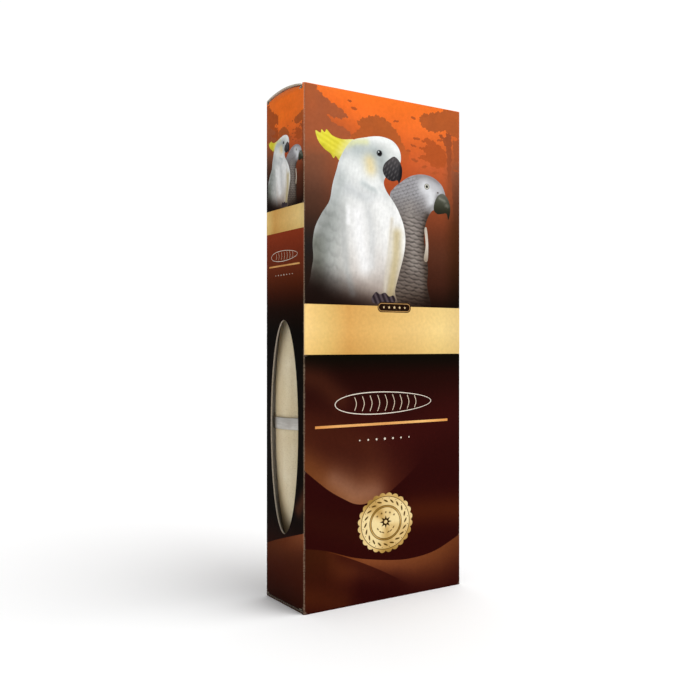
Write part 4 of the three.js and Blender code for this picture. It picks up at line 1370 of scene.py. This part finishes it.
def ink_finish():
    """Offset print under a thin varnish: the print's colours with a faint paper mottle, pale cracked fibres
    along the creases that also stand in as a painted highlight, and a satin gloss that varies over the
    coating."""
    f = Finish("varnished_print", Specular_IOR_Level=0.006)
    print_colour = f.attribute("Print", "Color")
    mottle = f.span(f.cloud(900, 4), 0.3, 0.7, 0.94, 1.05)
    grey = f.node("ShaderNodeCombineColor", {0: mottle, 1: mottle, 2: mottle}).outputs[0]
    colour = f.blend(1.0, print_colour, grey, "MULTIPLY")
    fold = f.attribute("Fold")
    cracks = f.span(f.cloud(2600, 4, 0.7), 0.42, 0.62)
    # pale crease line: cracked coating, together with a painted highlight along the fold
    rub_and_highlight = f.maths("MULTIPLY", f.maths("MULTIPLY", fold, f.span(cracks, 0, 1, 0.25, 1.0)), 0.5)
    f.colour(f.blend(rub_and_highlight, colour, lin(206, 178, 152)))
    gloss = f.span(f.cloud(60, 3), 0.3, 0.7, 0.36, 0.46)
    f.roughness(f.maths("ADD", gloss, f.maths("MULTIPLY", rub_and_highlight, 0.5)))
    f.relief([(f.cloud(70, 2), 0.12), (f.cloud(2200, 3), 0.006), (cracks, 0.004)])
    return f.material


def raw_board_finish():
    """Uncoated back of recycled folding board: warm grey, with upright fibres, cloudy tone, dark flecks and
    a felted surface."""
    f = Finish("raw_board", Roughness=0.86, Specular_IOR_Level=0.25)
    fibres = f.cloud(700, 5, 0.65, f.stretched((1.0, 1.0, 0.22)))
    ground = f.blend(f.span(fibres, 0.32, 0.68), lin(168, 158, 142), lin(206, 198, 182))
    cloudy = f.blend(f.span(f.cloud(120, 3), 0.35, 0.65, 0, 0.5), ground, lin(190, 176, 154))
    flecks = f.span(f.cells(1300), 0.10, 0.16)
    f.colour(f.blend(flecks, lin(118, 104, 88), cloudy))
    f.relief([(fibres, 0.03), (f.cloud(3000, 3), 0.01)])
    return f.material


def cut_edge_finish(name, dark, pale):
    """Die-cut edge of the board: rough fibres, between a dark and a pale colour."""
    f = Finish(name, Roughness=0.9, Specular_IOR_Level=0.2)
    plies = f.span(f.cloud(2400, 4, 0.7), 0.3, 0.7)
    f.colour(f.blend(plies, lin(*dark), lin(*pale)))
    f.relief([(plies, 0.03)])
    return f.material


def chalk_finish():
    """Cuttlebone: porous ivory chalk, with darker chamber lines on the belly, a pebbled cream back and a thin
    horny amber rim along the margin."""
    f = Finish("cuttlebone_chalk", Specular_IOR_Level=0.2, Subsurface_Weight=0.12, Subsurface_Scale=0.0015)
    f.shader.inputs["Subsurface Radius"].default_value = (1.0, 0.75, 0.5)
    broad = f.span(f.cloud(45, 4), 0.3, 0.7)
    ground = f.blend(broad, lin(222, 205, 168), lin(240, 230, 204))
    streaks = f.span(f.cloud(420, 4, 0.6, f.stretched((1.0, 1.0, 0.12))), 0.35, 0.7)
    ground = f.blend(f.maths("MULTIPLY", streaks, 0.35), ground, lin(208, 188, 148))
    phase = f.maths("FRACT", f.attribute("Chamber"))
    line = f.span(f.maths("ABSOLUTE", f.maths("SUBTRACT", phase, 0.5)), 0.0, 0.16, 0.30, 0.0)
    belly = f.maths("MULTIPLY", f.maths("SUBTRACT", 1.0, f.attribute("Back")), f.attribute("Striped"))
    ground = f.blend(f.maths("MULTIPLY", line, belly), ground, lin(190, 168, 126))
    back = f.blend(f.span(f.cells(700), 0.15, 0.5), lin(226, 208, 178), lin(242, 232, 210))
    ground = f.blend(f.maths("MULTIPLY", f.attribute("Back"), 0.8), ground, back)
    pores = f.span(f.cells(2600), 0.12, 0.3)
    ground = f.blend(pores, lin(186, 166, 130), ground)
    f.colour(f.blend(f.maths("MULTIPLY", f.attribute("Rim"), 0.3), ground, lin(196, 164, 112)))
    f.roughness(f.span(broad, 0, 1, 0.82, 0.92))
    f.relief([(f.cloud(800, 5, 0.7), 0.10), (pores, 0.03)])
    return f.material


def steel_finish():
    """Cold-rolled spring steel: fine grinding lines along the strap, under soft cloudy tarnish."""
    f = Finish("ground_spring_steel", Metallic=1.0, Specular_IOR_Level=0.5)
    grain = f.cloud(500, 4, 0.6, f.stretched((0.5, 0.5, 14.0)))
    cloudy = f.span(f.cloud(260, 3), 0.35, 0.65)
    bright = f.blend(f.span(grain, 0.3, 0.7), lin(158, 154, 147), lin(198, 195, 190))
    f.colour(f.blend(f.maths("MULTIPLY", cloudy, 0.35), bright, lin(138, 130, 120)))
    f.roughness(f.maths("ADD", f.span(grain, 0.3, 0.7, 0.26, 0.4), f.maths("MULTIPLY", cloudy, 0.08)))
    f.relief([(grain, 0.012)])
    return f.material


def floor_finish():
    """Matt white paper, very slightly uneven."""
    f = Finish("white_sweep", Roughness=0.9, Specular_IOR_Level=0.1)
    f.colour(f.blend(f.span(f.cloud(3, 2), 0.3, 0.7), lin(250, 250, 250), lin(254, 254, 254)))
    return f.material


INK, RAW_BOARD = ink_finish(), raw_board_finish()
CUT_EDGE = cut_edge_finish("cut_board_edge", (150, 136, 118), (214, 204, 188))
# dark brown cut edge for the bottom panel: painted shade for the shadow under the carton, in place of the
# board's pale fibres
SHADED_BOTTOM_EDGE = cut_edge_finish("shaded_board_edge", (40, 20, 12), (84, 52, 36))
LINER = [INK, RAW_BOARD, CUT_EDGE]      # a board piece's outer face, inner face and cut edge
CHALK, STEEL = chalk_finish(), steel_finish()

sleeve()
top_lid()
top_tuck()
bottom_flap()
for side, label in ((-1, "left"), (1, "right")):
    dust_flap("dust_flap_" + label, "top_dust_flap_" + label, side, True)
    dust_flap("lower_dust_flap_" + label, "bottom_dust_flap_" + label, side, False)
cuttlebone()
bone_clip()


# ---- Room, light and camera ----------------------------------------------------------------------------
FLOOR_HALF = 12.0                       # metres
DOME_LEFT, DOME_RIGHT = 0.5, 1.04       # strength of the dome on its left and on its right
KEY_FROM, KEY_STRENGTH, KEY_SPREAD = (0.45, -0.55, 0.70), 1.55, 60
CAMERA_AT, CAMERA_TOWARDS = (-167.9, -247.8, 86.3), (0.546, 0.838, 0.0)
LENS, LENS_RISE, SENSOR = 43.7, -0.0079, 36.0


def place(name, data):
    """An object that holds the data, put into the scene."""
    piece = bpy.data.objects.new(name, data)
    bpy.context.scene.collection.objects.link(piece)
    return piece


def aim(piece, direction, axis):
    """Turns the object's axis along a direction, with its Y axis up."""
    piece.rotation_mode = "QUATERNION"
    piece.rotation_quaternion = Vector(direction).to_track_quat(axis, "Y")


def floor():
    """A wide white floor at height zero, one flat sheet."""
    mesh = bpy.data.meshes.new("studio_floor")
    corners = [(FLOOR_HALF * x, FLOOR_HALF * y, 0) for x, y in ((-1, -1), (1, -1), (1, 1), (-1, 1))]
    mesh.from_pydata(corners, [], [(0, 1, 2, 3)])
    mesh.materials.append(floor_finish())
    place("studio_floor", mesh)


def dome():
    """White studio dome, bright on the far right where it is the backdrop, dimmer on the left."""
    world = bpy.data.worlds.new("studio_dome")
    bpy.context.scene.world = world
    world.use_nodes = True
    tree = world.node_tree
    tree.nodes.clear()
    where = tree.nodes.new("ShaderNodeTexCoord")
    split = tree.nodes.new("ShaderNodeSeparateXYZ")
    spread_x = tree.nodes.new("ShaderNodeMapRange")
    limits = {"From Min": -0.15, "From Max": 0.05, "To Min": DOME_LEFT, "To Max": DOME_RIGHT}
    for name, value in limits.items():
        spread_x.inputs[name].default_value = value
    spread_x.interpolation_type = "SMOOTHSTEP"
    back = tree.nodes.new("ShaderNodeBackground")
    out = tree.nodes.new("ShaderNodeOutputWorld")
    tree.links.new(where.outputs["Generated"], split.inputs[0])
    tree.links.new(split.outputs["X"], spread_x.inputs["Value"])
    tree.links.new(spread_x.outputs[0], back.inputs["Strength"])
    tree.links.new(back.outputs[0], out.inputs[0])
    back.inputs["Color"].default_value = (1.0, 1.0, 1.0, 1.0)


def key_light():
    """A very large soft source from the front right, as a sun lamp with a wide disc."""
    lamp = bpy.data.lights.new("soft_key", "SUN")
    lamp.energy, lamp.angle = KEY_STRENGTH, np.radians(KEY_SPREAD)
    aim(place("soft_key", lamp), KEY_FROM, "Z")


def camera():
    """A level camera to the left of the front, with a small rise of the lens instead of a tilt."""
    lens = bpy.data.cameras.new("camera")
    lens.lens, lens.sensor_width, lens.shift_y = LENS, SENSOR, LENS_RISE
    lens.clip_start, lens.clip_end = 0.01, 50
    piece = place("camera", lens)
    piece.location = Vector(CAMERA_AT) * MM
    aim(piece, CAMERA_TOWARDS, "-Z")
    bpy.context.scene.camera = piece


floor()
dome()
key_light()
camera()
bpy.context.scene.view_settings.view_transform = "Standard"

bpy.context.view_layer.update()
